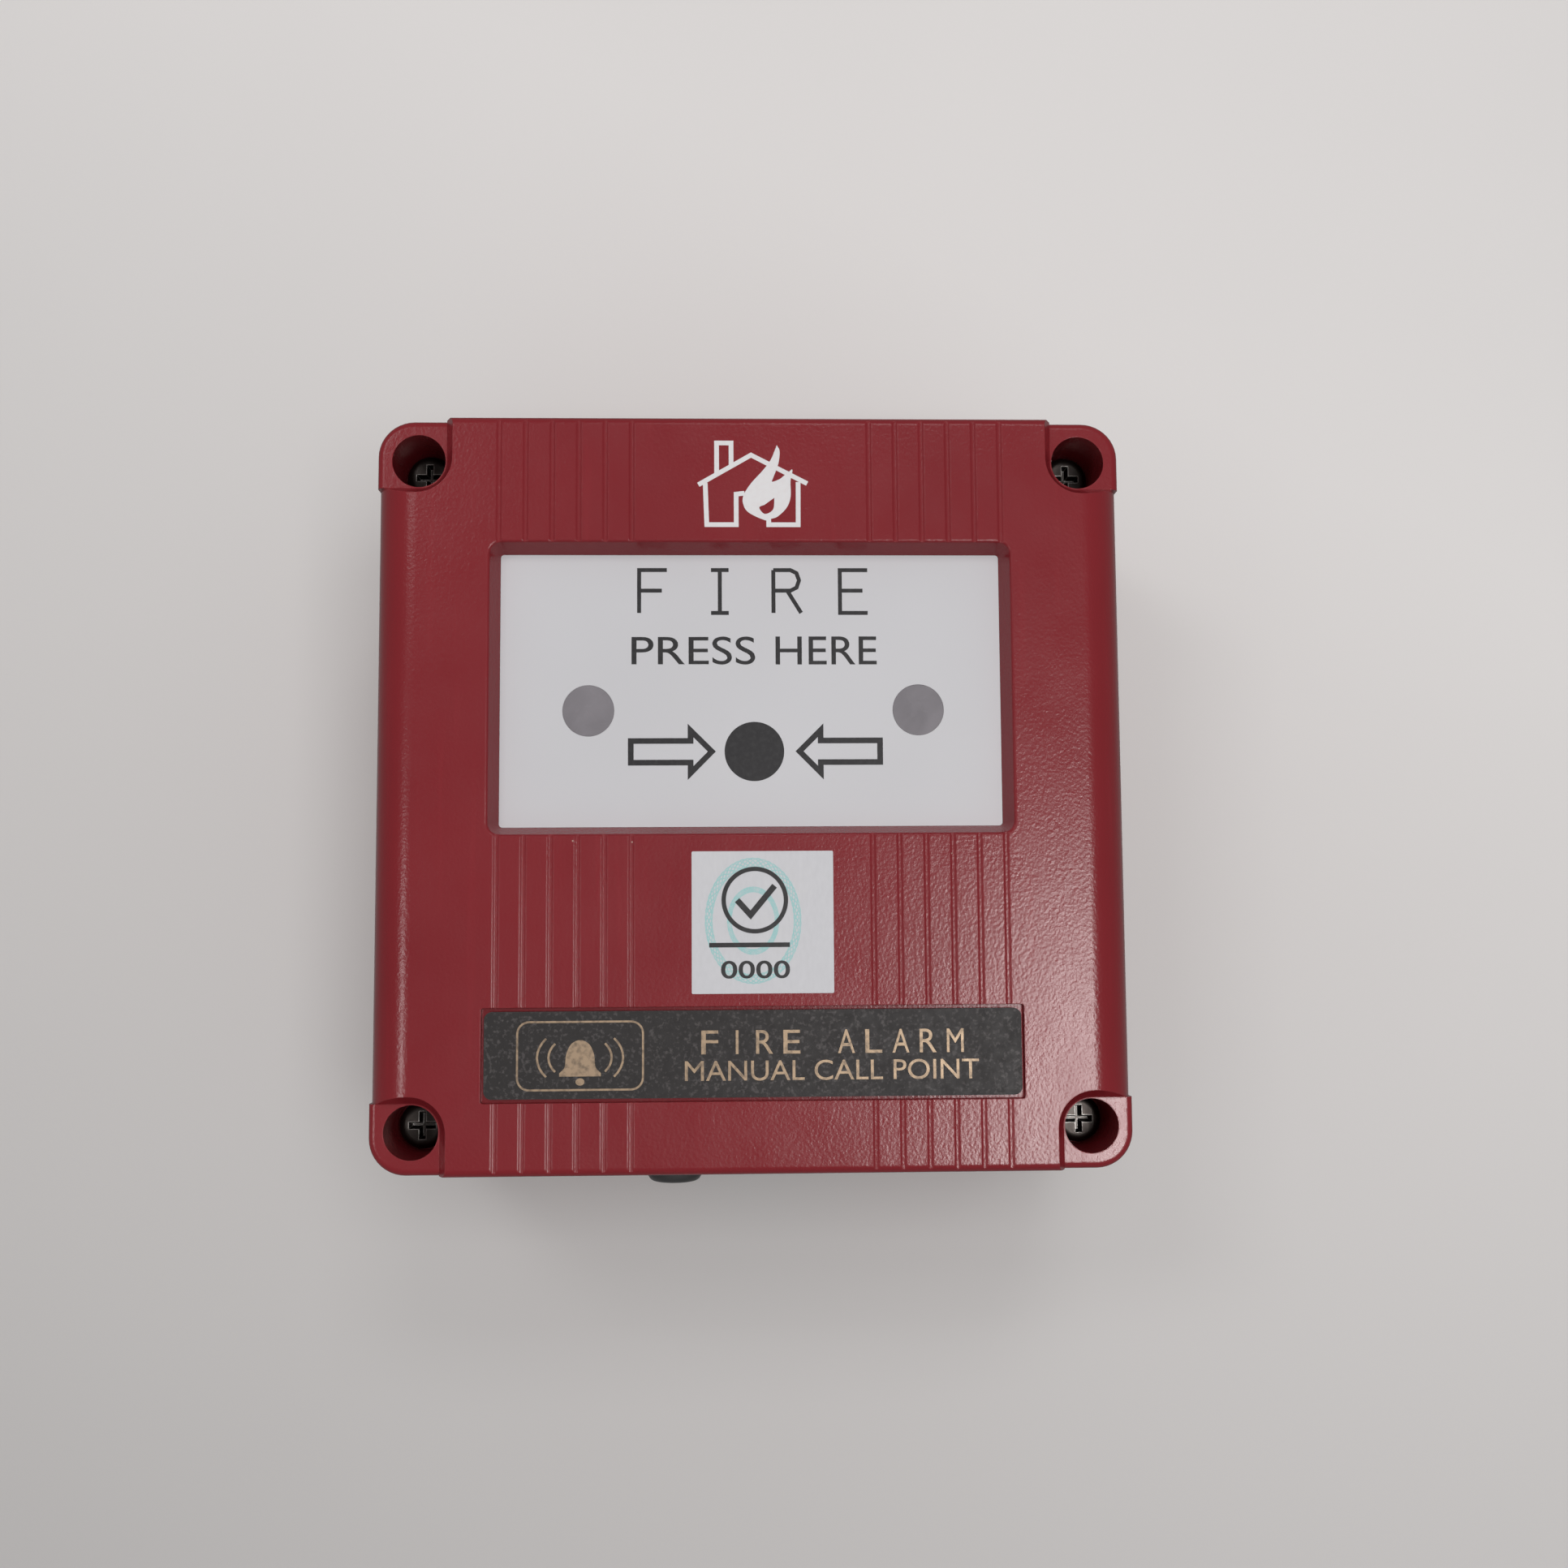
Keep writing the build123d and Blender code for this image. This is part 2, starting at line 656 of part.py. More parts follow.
with BuildPart() as circuit_board:
    with BuildSketch(front_plane(board_rear)):
        with Locations((0, board_z)):
            RectangleRounded(board_width, board_height, 1.5)
        with Locations(board_screw_sites):
            Circle(board_hole_radius, mode=Mode.SUBTRACT)
        with Locations(pin_sites):
            Circle(pin_hole_radius, mode=Mode.SUBTRACT)
    extrude(amount=board_rear - board_front)
save(circuit_board.part, "circuit_board")

save(small_screws(board_rear, board_screw_sites, 1.0, 6.5, 4.6, 1.8), "board_screws")

switch_front = -40.5
switch_width, switch_height = 11.0, 6.4
switch_bore_radius, switch_floor = 1.6, 0.4
with BuildPart() as microswitch:
    with BuildSketch(front_plane(board_front)):
        with Locations((press_x, press_z)):
            RectangleRounded(switch_width, switch_height, 0.4)
    extrude(amount=board_front - switch_front)
    with BuildSketch(front_plane(board_front - switch_floor)):
        with Locations((press_x, press_z)):
            Circle(switch_bore_radius)
    extrude(amount=board_front - switch_floor - switch_front, mode=Mode.SUBTRACT)
save(microswitch.part, "microswitch")

plunger_radius, plunger_edge_radius = 1.5, 0.6
plunger_tip_y = post_tip_y + 0.3
plunger_rear = -39.0
with BuildPart() as switch_plunger:
    with BuildSketch(front_plane(plunger_rear)):
        with Locations((press_x, press_z)):
            Circle(plunger_radius)
    extrude(amount=plunger_rear - plunger_tip_y)
    fillet(switch_plunger.faces().sort_by(Axis.Y)[0].edges(), radius=plunger_edge_radius)
save(switch_plunger.part, "switch_plunger")

pin_tip_y = board_rear + 1.2
with BuildPart() as switch_pins:
    with BuildSketch(front_plane(pin_tip_y)):
        with Locations(pin_sites):
            Rectangle(0.8, 0.5)
    extrude(amount=pin_tip_y - board_front)
save(switch_pins.part, "switch_pins")

led_tip_y, led_flange_height, led_flange_extra = -44.6, 1.0, 0.4
for name, site in zip(("led_left", "led_right"), led_sites):
    with BuildPart() as led:
        with BuildSketch(front_plane(board_front)):
            with Locations(site):
                Circle(led_radius + led_flange_extra)
        extrude(amount=led_flange_height)
        with BuildSketch(front_plane(board_front - led_flange_height)):
            with Locations(site):
                Circle(led_radius)
        extrude(amount=board_front - led_flange_height - led_tip_y)
        fillet(led.faces().sort_by(Axis.Y)[0].edges(), radius=led_radius - 0.1)
    save(led.part, name)

terminal_pitch = 5.08
terminal_count = 6
terminal_z, terminal_height, terminal_rise = -14.0, 10.0, 12.0
terminal_xs = [(i - (terminal_count - 1) / 2) * terminal_pitch for i in range(terminal_count)]
terminal_rear = board_rear + terminal_rise
terminal_low_z = terminal_z - terminal_height / 2
wire_y = board_rear + 5.0
wire_entry_width, wire_entry_height, wire_entry_length = 3.6, 4.6, 7.5
screw_well_radius = 1.9
clamp_wall, clamp_length = 0.5, 5.5
clamp_screw_radius, clamp_screw_length = 1.8, 2.0

with BuildPart() as terminal_block:
    with BuildSketch(Plane.YZ.offset(-terminal_pitch * terminal_count / 2 - 0.5)):
        with BuildLine():
            Polyline(
                (board_rear, terminal_low_z),
                (board_rear, terminal_low_z + terminal_height),
                (terminal_rear - 3.0, terminal_low_z + terminal_height),
                (terminal_rear, terminal_low_z + terminal_height - 2.0),
                (terminal_rear, terminal_low_z + 2.5),
                (terminal_rear - 3.5, terminal_low_z),
                (board_rear, terminal_low_z),
            )
        make_face()
    extrude(amount=terminal_pitch * terminal_count + 1.0)
    # wire funnels from below and screw wells from behind
    with BuildSketch(Plane.XY.offset(terminal_low_z)):
        with Locations([(x, wire_y) for x in terminal_xs]):
            Rectangle(wire_entry_width, wire_entry_height)
    extrude(amount=wire_entry_length, mode=Mode.SUBTRACT)
    with BuildSketch(front_plane(terminal_rear)):
        with Locations([(x, terminal_z) for x in terminal_xs]):
            Circle(screw_well_radius)
    extrude(amount=terminal_rear - wire_y - 2.0, mode=Mode.SUBTRACT)
save(terminal_block.part, "terminal_block")

with BuildPart() as terminal_clamps:
    with BuildSketch(Plane.XY.offset(terminal_low_z + 1.2)):
        with Locations([(x, wire_y) for x in terminal_xs]):
            Rectangle(wire_entry_width - 0.2, wire_entry_height - 0.2)
            Rectangle(
                wire_entry_width - 0.2 - 2 * clamp_wall,
                wire_entry_height - 0.4 - 2 * clamp_wall,
                mode=Mode.SUBTRACT,
            )
    extrude(amount=clamp_length)
save(terminal_clamps.part, "terminal_clamps")

with BuildPart() as terminal_screws:
    with BuildSketch(front_plane(terminal_rear - 1.2)):
        with Locations([(x, terminal_z) for x in terminal_xs]):
            Circle(clamp_screw_radius)
    extrude(amount=clamp_screw_length)
    with BuildSketch(front_plane(terminal_rear - 1.2)):
        with Locations([(x, terminal_z) for x in terminal_xs]):
            Rectangle(3.0, 0.6)
    extrude(amount=0.8, mode=Mode.SUBTRACT)
save(terminal_screws.part, "terminal_screws")

chip_site = (14.0, 16.0)
chip_width, chip_height, chip_thickness, chip_gap = 12.8, 7.5, 2.0, 0.4
lead_pitch, lead_rows, lead_count = 1.27, 9.0, 9
with BuildPart() as controller_chip:
    with BuildSketch(front_plane(board_rear + chip_gap + chip_thickness)):
        with Locations(chip_site):
            Rectangle(chip_width, chip_height)
    extrude(amount=chip_thickness)
    chamfer(controller_chip.faces().sort_by(Axis.Y)[-1].edges(), length=0.3)
    with BuildSketch(front_plane(board_rear + 1.0)):
        with Locations(chip_site):
            with GridLocations(lead_pitch, lead_rows, lead_count, 2):
                Rectangle(0.4, 1.6)
    extrude(amount=1.0)
save(controller_chip.part, "controller_chip")

capacitor_site, capacitor_radius, capacitor_height = (-20.0, 16.0), 4.0, 9.0
with BuildPart() as capacitor:
    with BuildSketch(front_plane(board_rear)):
        with Locations(capacitor_site):
            Circle(capacitor_radius)
    extrude(amount=-capacitor_height)
    fillet(capacitor.faces().filter_by(Axis.Y).sort_by(Axis.Y)[-1].edges(), radius=0.6)
save(capacitor.part, "capacitor")

resistors_site, resistor_thickness = (-2.0, 18.0), 0.6
with BuildPart() as chip_resistors:
    with BuildSketch(front_plane(board_rear + resistor_thickness)):
        with Locations(resistors_site):
            with GridLocations(4.0, 5.0, 3, 2):
                Rectangle(1.6, 3.2)
    extrude(amount=resistor_thickness)
save(chip_resistors.part, "chip_resistors")

# ---------------------------------------------------------------- nameplate and label
nameplate_width, nameplate_height, nameplate_thickness = 75.4, 12.1, 0.8
nameplate_corner_radius = 1.1
label_size, label_thickness = 20.0, 0.12
label_site = (1.4, -18.9)

with BuildPart() as nameplate:
    with BuildSketch(front_plane(front + nameplate_recess_depth)):
        with Locations((nameplate_x, nameplate_z)):
            RectangleRounded(nameplate_width, nameplate_height, nameplate_corner_radius)
    extrude(amount=nameplate_thickness)
save(nameplate.part, "nameplate")

with BuildPart() as approval_label:
    with BuildSketch(front_plane(front)):
        with Locations(label_site):
            RectangleRounded(label_size, label_size, 0.2)
    extrude(amount=label_thickness)
save(approval_label.part, "approval_label")

# ---------------------------------------------------------------- reset plug
plug_cap_radius, plug_cap_height, plug_edge_radius = 4.0, 2.9, 1.2
plug_stem_radius, plug_stem_length = 2.9, wall + 1.5
with BuildPart() as reset_plug:
    with BuildSketch(Plane.XY.offset(-half - plug_cap_height)):
        with Locations((latch_x, keyway_y)):
            Circle(plug_cap_radius)
    extrude(amount=plug_cap_height)
    fillet(reset_plug.faces().sort_by(Axis.Z)[0].edges(), radius=plug_edge_radius)
    with BuildSketch(Plane.XY.offset(-half)):
        with Locations((latch_x, keyway_y)):
            Circle(plug_stem_radius)
    extrude(amount=plug_stem_length)
    chamfer(reset_plug.faces().sort_by(Axis.Z)[-1].edges(), length=0.6)
save(reset_plug.part, "reset_plug")

# ---------------------------------------------------------------- blanked cable entry
entry_seal_thickness, entry_seal_radius = 1.0, 12.4
entry_head_radius, entry_head_height = 13.0, 2.5
entry_stem_length, entry_wall = 11.0, 2.0
coin_slot_length, coin_slot_width, coin_slot_depth = 17.0, 2.4, 1.4
locknut_radius, locknut_height = 12.0, 4.0
with BuildPart() as entry_seal:
    with BuildSketch(Plane.XY.offset(-half - entry_seal_thickness)):
        with Locations((0, entry_y)):
            Circle(entry_seal_radius)
            Circle(entry_radius, mode=Mode.SUBTRACT)
    extrude(amount=entry_seal_thickness)
save(entry_seal.part, "entry_seal")

with BuildPart() as entry_plug:
    with BuildSketch(Plane.XY.offset(-half - entry_seal_thickness - entry_head_height)):
        with Locations((0, entry_y)):
            Circle(entry_head_radius)
    extrude(amount=entry_head_height)
    fillet(entry_plug.faces().sort_by(Axis.Z)[0].edges(), radius=0.9)
    with BuildSketch(Plane.XY.offset(-half - entry_seal_thickness)):
        with Locations((0, entry_y)):
            Circle(entry_radius - 0.1)
    extrude(amount=entry_stem_length)
    with BuildSketch(Plane.XY.offset(-half - entry_seal_thickness / 2)):
        with Locations((0, entry_y)):
            Circle(entry_radius - entry_wall)
    extrude(amount=entry_stem_length, mode=Mode.SUBTRACT)
    # coin slot
    with BuildSketch(Plane.XY.offset(-half - entry_seal_thickness - entry_head_height)):
        with Locations((0, entry_y)):
            SlotOverall(coin_slot_length, coin_slot_width)
    extrude(amount=coin_slot_depth, mode=Mode.SUBTRACT)
save(entry_plug.part, "entry_plug")

with BuildPart() as entry_locknut:
    with BuildSketch(Plane.XY.offset(-inner_half)):
        with Locations((0, entry_y)):
            RegularPolygon(radius=locknut_radius, side_count=6, major_radius=False)
            Circle(entry_radius - 0.05, mode=Mode.SUBTRACT)
    extrude(amount=locknut_height)
save(entry_locknut.part, "entry_locknut")

# ---------------------------------------------------------------- rear grommet
grommet_bore_radius = 6.0
grommet_lip_width, grommet_lip_height = 1.5, 1.5
with BuildPart() as rear_grommet:
    with BuildSketch(front_plane(0)):
        with Locations((0, grommet_z)):
            Circle(grommet_recess_radius - 0.1)
    extrude(amount=grommet_recess_depth)
    with BuildSketch(front_plane(-grommet_recess_depth)):
        with Locations((0, grommet_z)):
            Circle(cable_hole_radius - 0.05)
    extrude(amount=wall - grommet_recess_depth)
    with BuildSketch(front_plane(-wall)):
        with Locations((0, grommet_z)):
            Circle(cable_hole_radius + grommet_lip_width)
    extrude(amount=grommet_lip_height)
    with BuildSketch(front_plane(0)):
        with Locations((0, grommet_z)):
            Circle(grommet_bore_radius)
    extrude(amount=wall + grommet_lip_height, mode=Mode.SUBTRACT)
save(rear_grommet.part, "rear_grommet")
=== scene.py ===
import json
import math

import bpy
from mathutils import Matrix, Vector
from mathutils.geometry import delaunay_2d_cdt


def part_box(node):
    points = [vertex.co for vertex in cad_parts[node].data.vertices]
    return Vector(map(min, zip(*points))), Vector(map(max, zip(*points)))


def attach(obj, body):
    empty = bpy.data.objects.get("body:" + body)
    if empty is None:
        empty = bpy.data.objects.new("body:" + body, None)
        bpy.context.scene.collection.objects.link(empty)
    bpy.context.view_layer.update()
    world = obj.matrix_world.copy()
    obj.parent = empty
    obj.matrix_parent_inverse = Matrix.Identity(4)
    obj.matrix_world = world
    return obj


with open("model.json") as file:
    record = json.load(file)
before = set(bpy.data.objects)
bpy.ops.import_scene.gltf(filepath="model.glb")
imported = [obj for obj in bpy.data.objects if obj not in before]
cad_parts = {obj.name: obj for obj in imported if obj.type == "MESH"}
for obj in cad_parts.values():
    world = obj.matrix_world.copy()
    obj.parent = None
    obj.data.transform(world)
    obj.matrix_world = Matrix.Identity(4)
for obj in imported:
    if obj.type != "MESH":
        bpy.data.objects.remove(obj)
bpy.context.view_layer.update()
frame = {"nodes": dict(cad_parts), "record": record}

# Looks for the manual call point. Metres, in the CAD frame: the wall is y = 0,
# the front faces -Y and +Z is up. Prints are measured in millimetres.

MM = 0.001

# ---------------------------------------------------------------- camera
LENS = 38.2
SENSOR = 36.0
CAMERA_PLACE = (-0.0034, -0.2913, -0.01975)
CAMERA_TURN = (94.9443, 0.3810, -1.8972)

# ---------------------------------------------------------------- colours, linear
RED = (0.203, 0.0150, 0.0205)
PLATE_WHITE = (0.595, 0.593, 0.615)
LENS_GREY = (0.212, 0.199, 0.215)
FRAME_BLACK = (0.030, 0.030, 0.033)
CHASSIS_GREY = (0.36, 0.37, 0.38)
ACETAL = (0.68, 0.65, 0.56)
RUBBER_BLACK = (0.018, 0.018, 0.019)
STEEL = (0.60, 0.60, 0.62)
DARK_STEEL = (0.045, 0.039, 0.036)
ZINC = (0.62, 0.62, 0.58)
BRASS = (0.70, 0.50, 0.20)
NAMEPLATE = (0.030, 0.027, 0.027)
LABEL = (0.585, 0.585, 0.61)
BOARD_GREEN = (0.012, 0.10, 0.040)
TERMINAL_GREEN = (0.018, 0.22, 0.07)
CHIP_BLACK = (0.020, 0.020, 0.021)
SLEEVE_BLUE = (0.016, 0.022, 0.075)
LED_CLEAR = (0.78, 0.77, 0.74)
INK_BLACK = (0.024, 0.023, 0.025)
INK_WHITE = (0.72, 0.71, 0.72)
INK_GOLD = (0.31, 0.225, 0.150)
INK_TEAL = (0.33, 0.56, 0.56)
WALL_PAPER = (0.775, 0.756, 0.748)
COOL_WHITE = (1.0, 0.99, 0.985)
WARM_WHITE = (1.0, 0.98, 0.97)
KEY_WHITE = (1.0, 0.985, 0.98)
SKY = (0.90, 0.89, 0.885, 1.0)
SKY_STRENGTH = 0.33

# ---------------------------------------------------------------- surfaces that carry print
PLATEAU_Y = -56.0
PLATE_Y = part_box("press_plate")[0].y / MM
LABEL_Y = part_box("approval_label")[0].y / MM
NAMEPLATE_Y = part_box("nameplate")[0].y / MM
PRINT_THICKNESS = 0.02


# ================================================================ materials
class Look:
    """A material and shorthand for the nodes that it is made of."""

    def __init__(self, name):
        self.material = bpy.data.materials.new(name)
        self.material.use_nodes = True
        tree = self.material.node_tree
        self.nodes, self.links = tree.nodes, tree.links
        self.nodes.clear()
        self.surface = self.nodes.new("ShaderNodeBsdfPrincipled")
        output = self.nodes.new("ShaderNodeOutputMaterial")
        self.links.new(self.surface.outputs["BSDF"], output.inputs["Surface"])
        self.place = self.nodes.new("ShaderNodeTexCoord").outputs["Object"]

    def wire(self, value, socket):
        """Links an output, or sets a plain number or colour."""
        if isinstance(value, bpy.types.NodeSocket):
            self.links.new(value, socket)
        elif isinstance(value, tuple) and len(value) == 3 and socket.type == "RGBA":
            socket.default_value = (*value, 1.0)
        else:
            socket.default_value = value

    def set(self, **inputs):
        """Links or sets inputs of the surface, each named with _ for a space."""
        for name, value in inputs.items():
            self.wire(value, self.surface.inputs[name.replace("_", " ")])

    def stretched(self, stretch):
        """The place on the object, times a factor for each direction."""
        node = self.nodes.new("ShaderNodeMapping")
        self.links.new(self.place, node.inputs["Vector"])
        node.inputs["Scale"].default_value = stretch
        return node.outputs["Vector"]

    def noise(self, size, detail=2.0, stretch=(1.0, 1.0, 1.0), distortion=0.0):
        """Noise with blotches about size metres across."""
        node = self.nodes.new("ShaderNodeTexNoise")
        self.links.new(self.stretched(stretch), node.inputs["Vector"])
        node.inputs["Scale"].default_value = 1.0 / size
        node.inputs["Detail"].default_value = detail
        node.inputs["Distortion"].default_value = distortion
        return node.outputs["Fac"]

    def cells(self, size):
        """Distance from the nearest of many scattered points, about size metres apart."""
        node = self.nodes.new("ShaderNodeTexVoronoi")
        self.links.new(self.place, node.inputs["Vector"])
        node.inputs["Scale"].default_value = 1.0 / size
        return node.outputs["Distance"]

    def ranged(self, value, low, high, start=0.3, end=0.7):
        """value, as it goes from start to end, made to go from low to high."""
        node = self.nodes.new("ShaderNodeMapRange")
        self.links.new(value, node.inputs["Value"])
        node.inputs["From Min"].default_value = start
        node.inputs["From Max"].default_value = end
        node.inputs["To Min"].default_value = low
        node.inputs["To Max"].default_value = high
        return node.outputs["Result"]

    def maths(self, operation, a, b):
        """The result of one arithmetic operation on a and b."""
        node = self.nodes.new("ShaderNodeMath")
        node.operation = operation
        self.wire(a, node.inputs[0])
        self.wire(b, node.inputs[1])
        return node.outputs["Value"]

    def mixed(self, share, a, b):
        """Colour a, going to colour b as share goes from 0 to 1."""
        node = self.nodes.new("ShaderNodeMix")
        node.data_type = "RGBA"
        self.wire(share, node.inputs["Factor"])
        self.wire(a, node.inputs["A"])
        self.wire(b, node.inputs["B"])
        return node.outputs["Result"]

    def rounded(self, radius):
        """A normal that turns smoothly round sharp edges."""
        node = self.nodes.new("ShaderNodeBevel")
        node.samples = 4
        node.inputs["Radius"].default_value = radius
        return node.outputs["Normal"]

    def edges(self, radius):
        """1 on sharp edges, 0 away from them."""
        place = self.nodes.new("ShaderNodeNewGeometry")
        dot = self.nodes.new("ShaderNodeVectorMath")
        dot.operation = "DOT_PRODUCT"
        self.links.new(self.rounded(radius), dot.inputs[0])
        self.links.new(place.outputs["Normal"], dot.inputs[1])
        return self.ranged(dot.outputs["Value"], 1.0, 0.0, 0.75, 0.985)

    def along(self, way, start, end):
        """0 to 1 from start to end, measured in metres in the direction of way."""
        dot = self.nodes.new("ShaderNodeVectorMath")
        dot.operation = "DOT_PRODUCT"
        self.links.new(self.place, dot.inputs[0])
        dot.inputs[1].default_value = way
        return self.ranged(dot.outputs["Value"], 0.0, 1.0, start, end)

    def bumped(self, height, depth, normal=None):
        """A normal tilted by a relief whose highest points stand depth metres out."""
        node = self.nodes.new("ShaderNodeBump")
        node.inputs["Strength"].default_value = 1.0
        node.inputs["Distance"].default_value = depth
        self.links.new(height, node.inputs["Height"])
        if normal is not None:
            self.links.new(normal, node.inputs["Normal"])
        return node.outputs["Normal"]


def shade(colour, amount):
    """A colour made darker or lighter by a factor."""
    return tuple(min(1.0, c * amount) for c in colour)


def toward(colour, other, share):
    """A colour moved a share of the way to another."""
    return tuple(c + (o - c) * share for c, o in zip(colour, other))


MOULDED_EDGE = 0.00015             # radius of a moulded edge
RUBBED_EDGE = 0.00024              # how far from an edge the rubbing reaches
RUBBED_SHARE = 0.35                # how far the most rubbed spots go to the paler colour
SHEEN_SPREAD = 0.05
METAL_EDGE = 0.00008               # radius of a metal edge
METAL_LINES = 0.00012              # width of the drawn or turned lines
STAIN_SHARE = 0.25                 # how far the most stained spots go to the dull colour


def moulded(name, colour, roughness, grain=0.0005, depth=0.000006, tone=0.05):
    """Injection-moulded plastic: fine grain, uneven sheen, softly broken edges."""
    look = Look(name)
    tone_map = look.ranged(look.noise(0.022, 4.0), 0.0, 1.0)
    body = look.mixed(tone_map, shade(colour, 1 - tone), shade(colour, 1 + tone))
    scuffs = look.ranged(look.noise(0.0012, 5.0), 0.0, RUBBED_SHARE, 0.42, 0.75)
    rubbed = look.maths("MULTIPLY", look.edges(RUBBED_EDGE), scuffs)
    worn = toward(colour, (0.8, 0.8, 0.8), 0.25)
    look.set(Base_Color=look.mixed(rubbed, body, worn))
    sheen_map = look.noise(0.009, 4.0)
    look.set(Roughness=look.ranged(sheen_map, roughness - SHEEN_SPREAD, roughness + SHEEN_SPREAD))
    look.set(Normal=look.bumped(look.noise(grain, 3.0), depth, look.rounded(MOULDED_EDGE)))
    return look.material


def red_cover():
    """Red moulded plastic with a leathery grain, a few pale scratches and dust specks."""
    look = Look("red_plastic")
    tone_map = look.ranged(look.noise(0.030, 3.0), 0.0, 1.0)
    body = look.mixed(tone_map, shade(RED, 0.95), shade(RED, 1.05))
    streaks = look.noise(0.0016, 4.0, stretch=(1.0, 1.0, 0.06), distortion=0.4)
    body = look.mixed(look.ranged(streaks, 0.0, 0.10, 0.56, 0.72), body, shade(RED, 1.5))
    specks = look.ranged(look.cells(0.0065), 0.75, 0.0, 0.012, 0.022)
    patches = look.ranged(look.noise(0.020, 2.0), 0.0, 1.0, 0.52, 0.60)
    dust = look.maths("MULTIPLY", specks, patches)
    body = look.mixed(dust, body, (0.50, 0.36, 0.32))
    scuffs = look.ranged(look.noise(0.0010, 5.0), 0.0, 0.45, 0.42, 0.72)
    rubbed = look.maths("MULTIPLY", look.edges(0.0003), scuffs)
    body = look.mixed(rubbed, body, (0.46, 0.10, 0.10))
    look.set(Base_Color=body)
    look.set(Roughness=look.ranged(look.noise(0.007, 4.0), 0.20, 0.26))
    look.set(Specular_IOR_Level=0.27)
    leather = look.noise(0.00044, 3.0, stretch=(1.0, 1.0, 0.9))
    ripple = look.noise(0.0024, 2.0, stretch=(1.0, 1.0, 0.6))
    normal = look.bumped(ripple, 0.000016, look.rounded(0.00022))
    look.set(Normal=look.bumped(leather, 0.000036, normal))
    return look.material


def smooth_plate():
    """White printed press plate: a smooth, faintly uneven sheet."""
    look = Look("white_plate")
    tone_map = look.ranged(look.noise(0.030, 2.0), 0.0, 1.0)
    body = look.mixed(tone_map, shade(PLATE_WHITE, 0.975), shade(PLATE_WHITE, 1.015))
    marks = look.ranged(look.noise(0.0018, 6.0), 0.0, 0.10, 0.64, 0.76)
    look.set(Base_Color=look.mixed(marks, body, (0.55, 0.54, 0.53)))
    look.set(Roughness=look.ranged(look.noise(0.010, 3.0), 0.34, 0.42))
    look.set(Specular_IOR_Level=0.15)
    look.set(Normal=look.bumped(look.noise(0.0016, 2.0), 0.000003, look.rounded(0.00012)))
    return look.material


def smoked_lens():
    """Smoked acrylic with faint mould flow."""
    look = Look("grey_lens")
    flow = look.ranged(look.noise(0.006, 3.0, distortion=0.8), 0.0, 1.0)
    look.set(Base_Color=look.mixed(flow, shade(LENS_GREY, 0.90), shade(LENS_GREY, 1.12)))
    look.set(Roughness=look.ranged(look.noise(0.003, 3.0), 0.20, 0.30))
    look.set(Normal=look.bumped(look.noise(0.0012, 2.0), 0.000002, look.rounded(0.0001)))
    look.set(Specular_IOR_Level=0.15)
    return look.material


def soft_rubber():
    """Matt black rubber with a pale bloom in patches."""
    look = Look("black_rubber")
    bloom = look.ranged(look.noise(0.004, 5.0), 0.0, 0.5, 0.45, 0.75)
    look.set(Base_Color=look.mixed(bloom, RUBBER_BLACK, (0.055, 0.053, 0.052)))
    look.set(Roughness=look.ranged(look.noise(0.002, 4.0), 0.62, 0.80))
    look.set(Normal=look.bumped(look.noise(0.00022, 3.0), 0.000010, look.rounded(0.0002)))
    look.surface.inputs["Sheen Weight"].default_value = 0.15
    return look.material


def metal(name, colour, roughness, tarnish=None, wear_and_glint_colour=None, edge_radius=METAL_EDGE):
    """Drawn, turned or plated metal with fine lines, an uneven sheen and paler edges that are wear and
    painted glints.
    """
    look = Look(name)
    dull = tarnish or shade(colour, 0.55)
    stain = look.ranged(look.noise(0.0022, 5.0), 0.0, STAIN_SHARE, 0.40, 0.72)
    body = look.mixed(stain, colour, dull)
    # paler edges: edge wear, and painted glints where a pale edge colour is given
    edge_wear_and_glint = wear_and_glint_colour or shade(colour, 1.25)
    look.set(Base_Color=look.mixed(look.edges(edge_radius), body, edge_wear_and_glint))
    look.set(Metallic=1.0)
    grain = look.noise(METAL_LINES, 2.0, stretch=(1.0, 1.0, 0.05))
    look.set(Roughness=look.ranged(grain, roughness - 0.07, roughness + 0.09))
    look.set(Normal=look.bumped(grain, 0.000002, look.rounded(METAL_EDGE)))
    return look.material


def anodised_plate():
    """Black anodised aluminium with a fine sparkling matt finish and a painted highlight along its edges.
    """
    look = Look("nameplate_black")
    sparkle = look.ranged(look.noise(0.00050, 3.0), 0.0, 1.0, 0.53, 0.72)
    cloud = look.ranged(look.noise(0.012, 3.0), 0.85, 1.15)
    share = look.maths("MULTIPLY", sparkle, cloud)
    body = look.mixed(share, shade(NAMEPLATE, 0.80), shade(NAMEPLATE, 2.3))
    # paler edges: painted edge highlight
    look.set(Base_Color=look.mixed(look.edges(0.0002), body, (0.10, 0.095, 0.095)))
    look.set(Metallic=0.10)
    look.set(Roughness=look.ranged(look.noise(0.0012, 4.0), 0.46, 0.60))
    look.set(Specular_IOR_Level=0.20)
    look.set(Normal=look.bumped(look.noise(0.00030, 2.0), 0.000014, look.rounded(0.0002)))
    return look.material


def paper_label():
    """White paper with faint fibres, a little darkened by handling."""
    look = Look("label_white")
    fibres = look.ranged(look.noise(0.0005, 5.0, stretch=(1.0, 1.0, 0.4)), 0.0, 1.0)
    body = look.mixed(fibres, shade(LABEL, 0.975), shade(LABEL, 1.02))
    handled = look.ranged(look.noise(0.008, 3.0), 0.0, 0.15, 0.50, 0.75)
    look.set(Base_Color=look.mixed(handled, body, (0.64, 0.63, 0.62)))
    look.set(Roughness=look.ranged(look.noise(0.0015, 4.0), 0.48, 0.60))
    look.set(Specular_IOR_Level=0.20)
    look.set(Normal=look.bumped(look.noise(0.00025, 3.0), 0.000003))
    return look.material


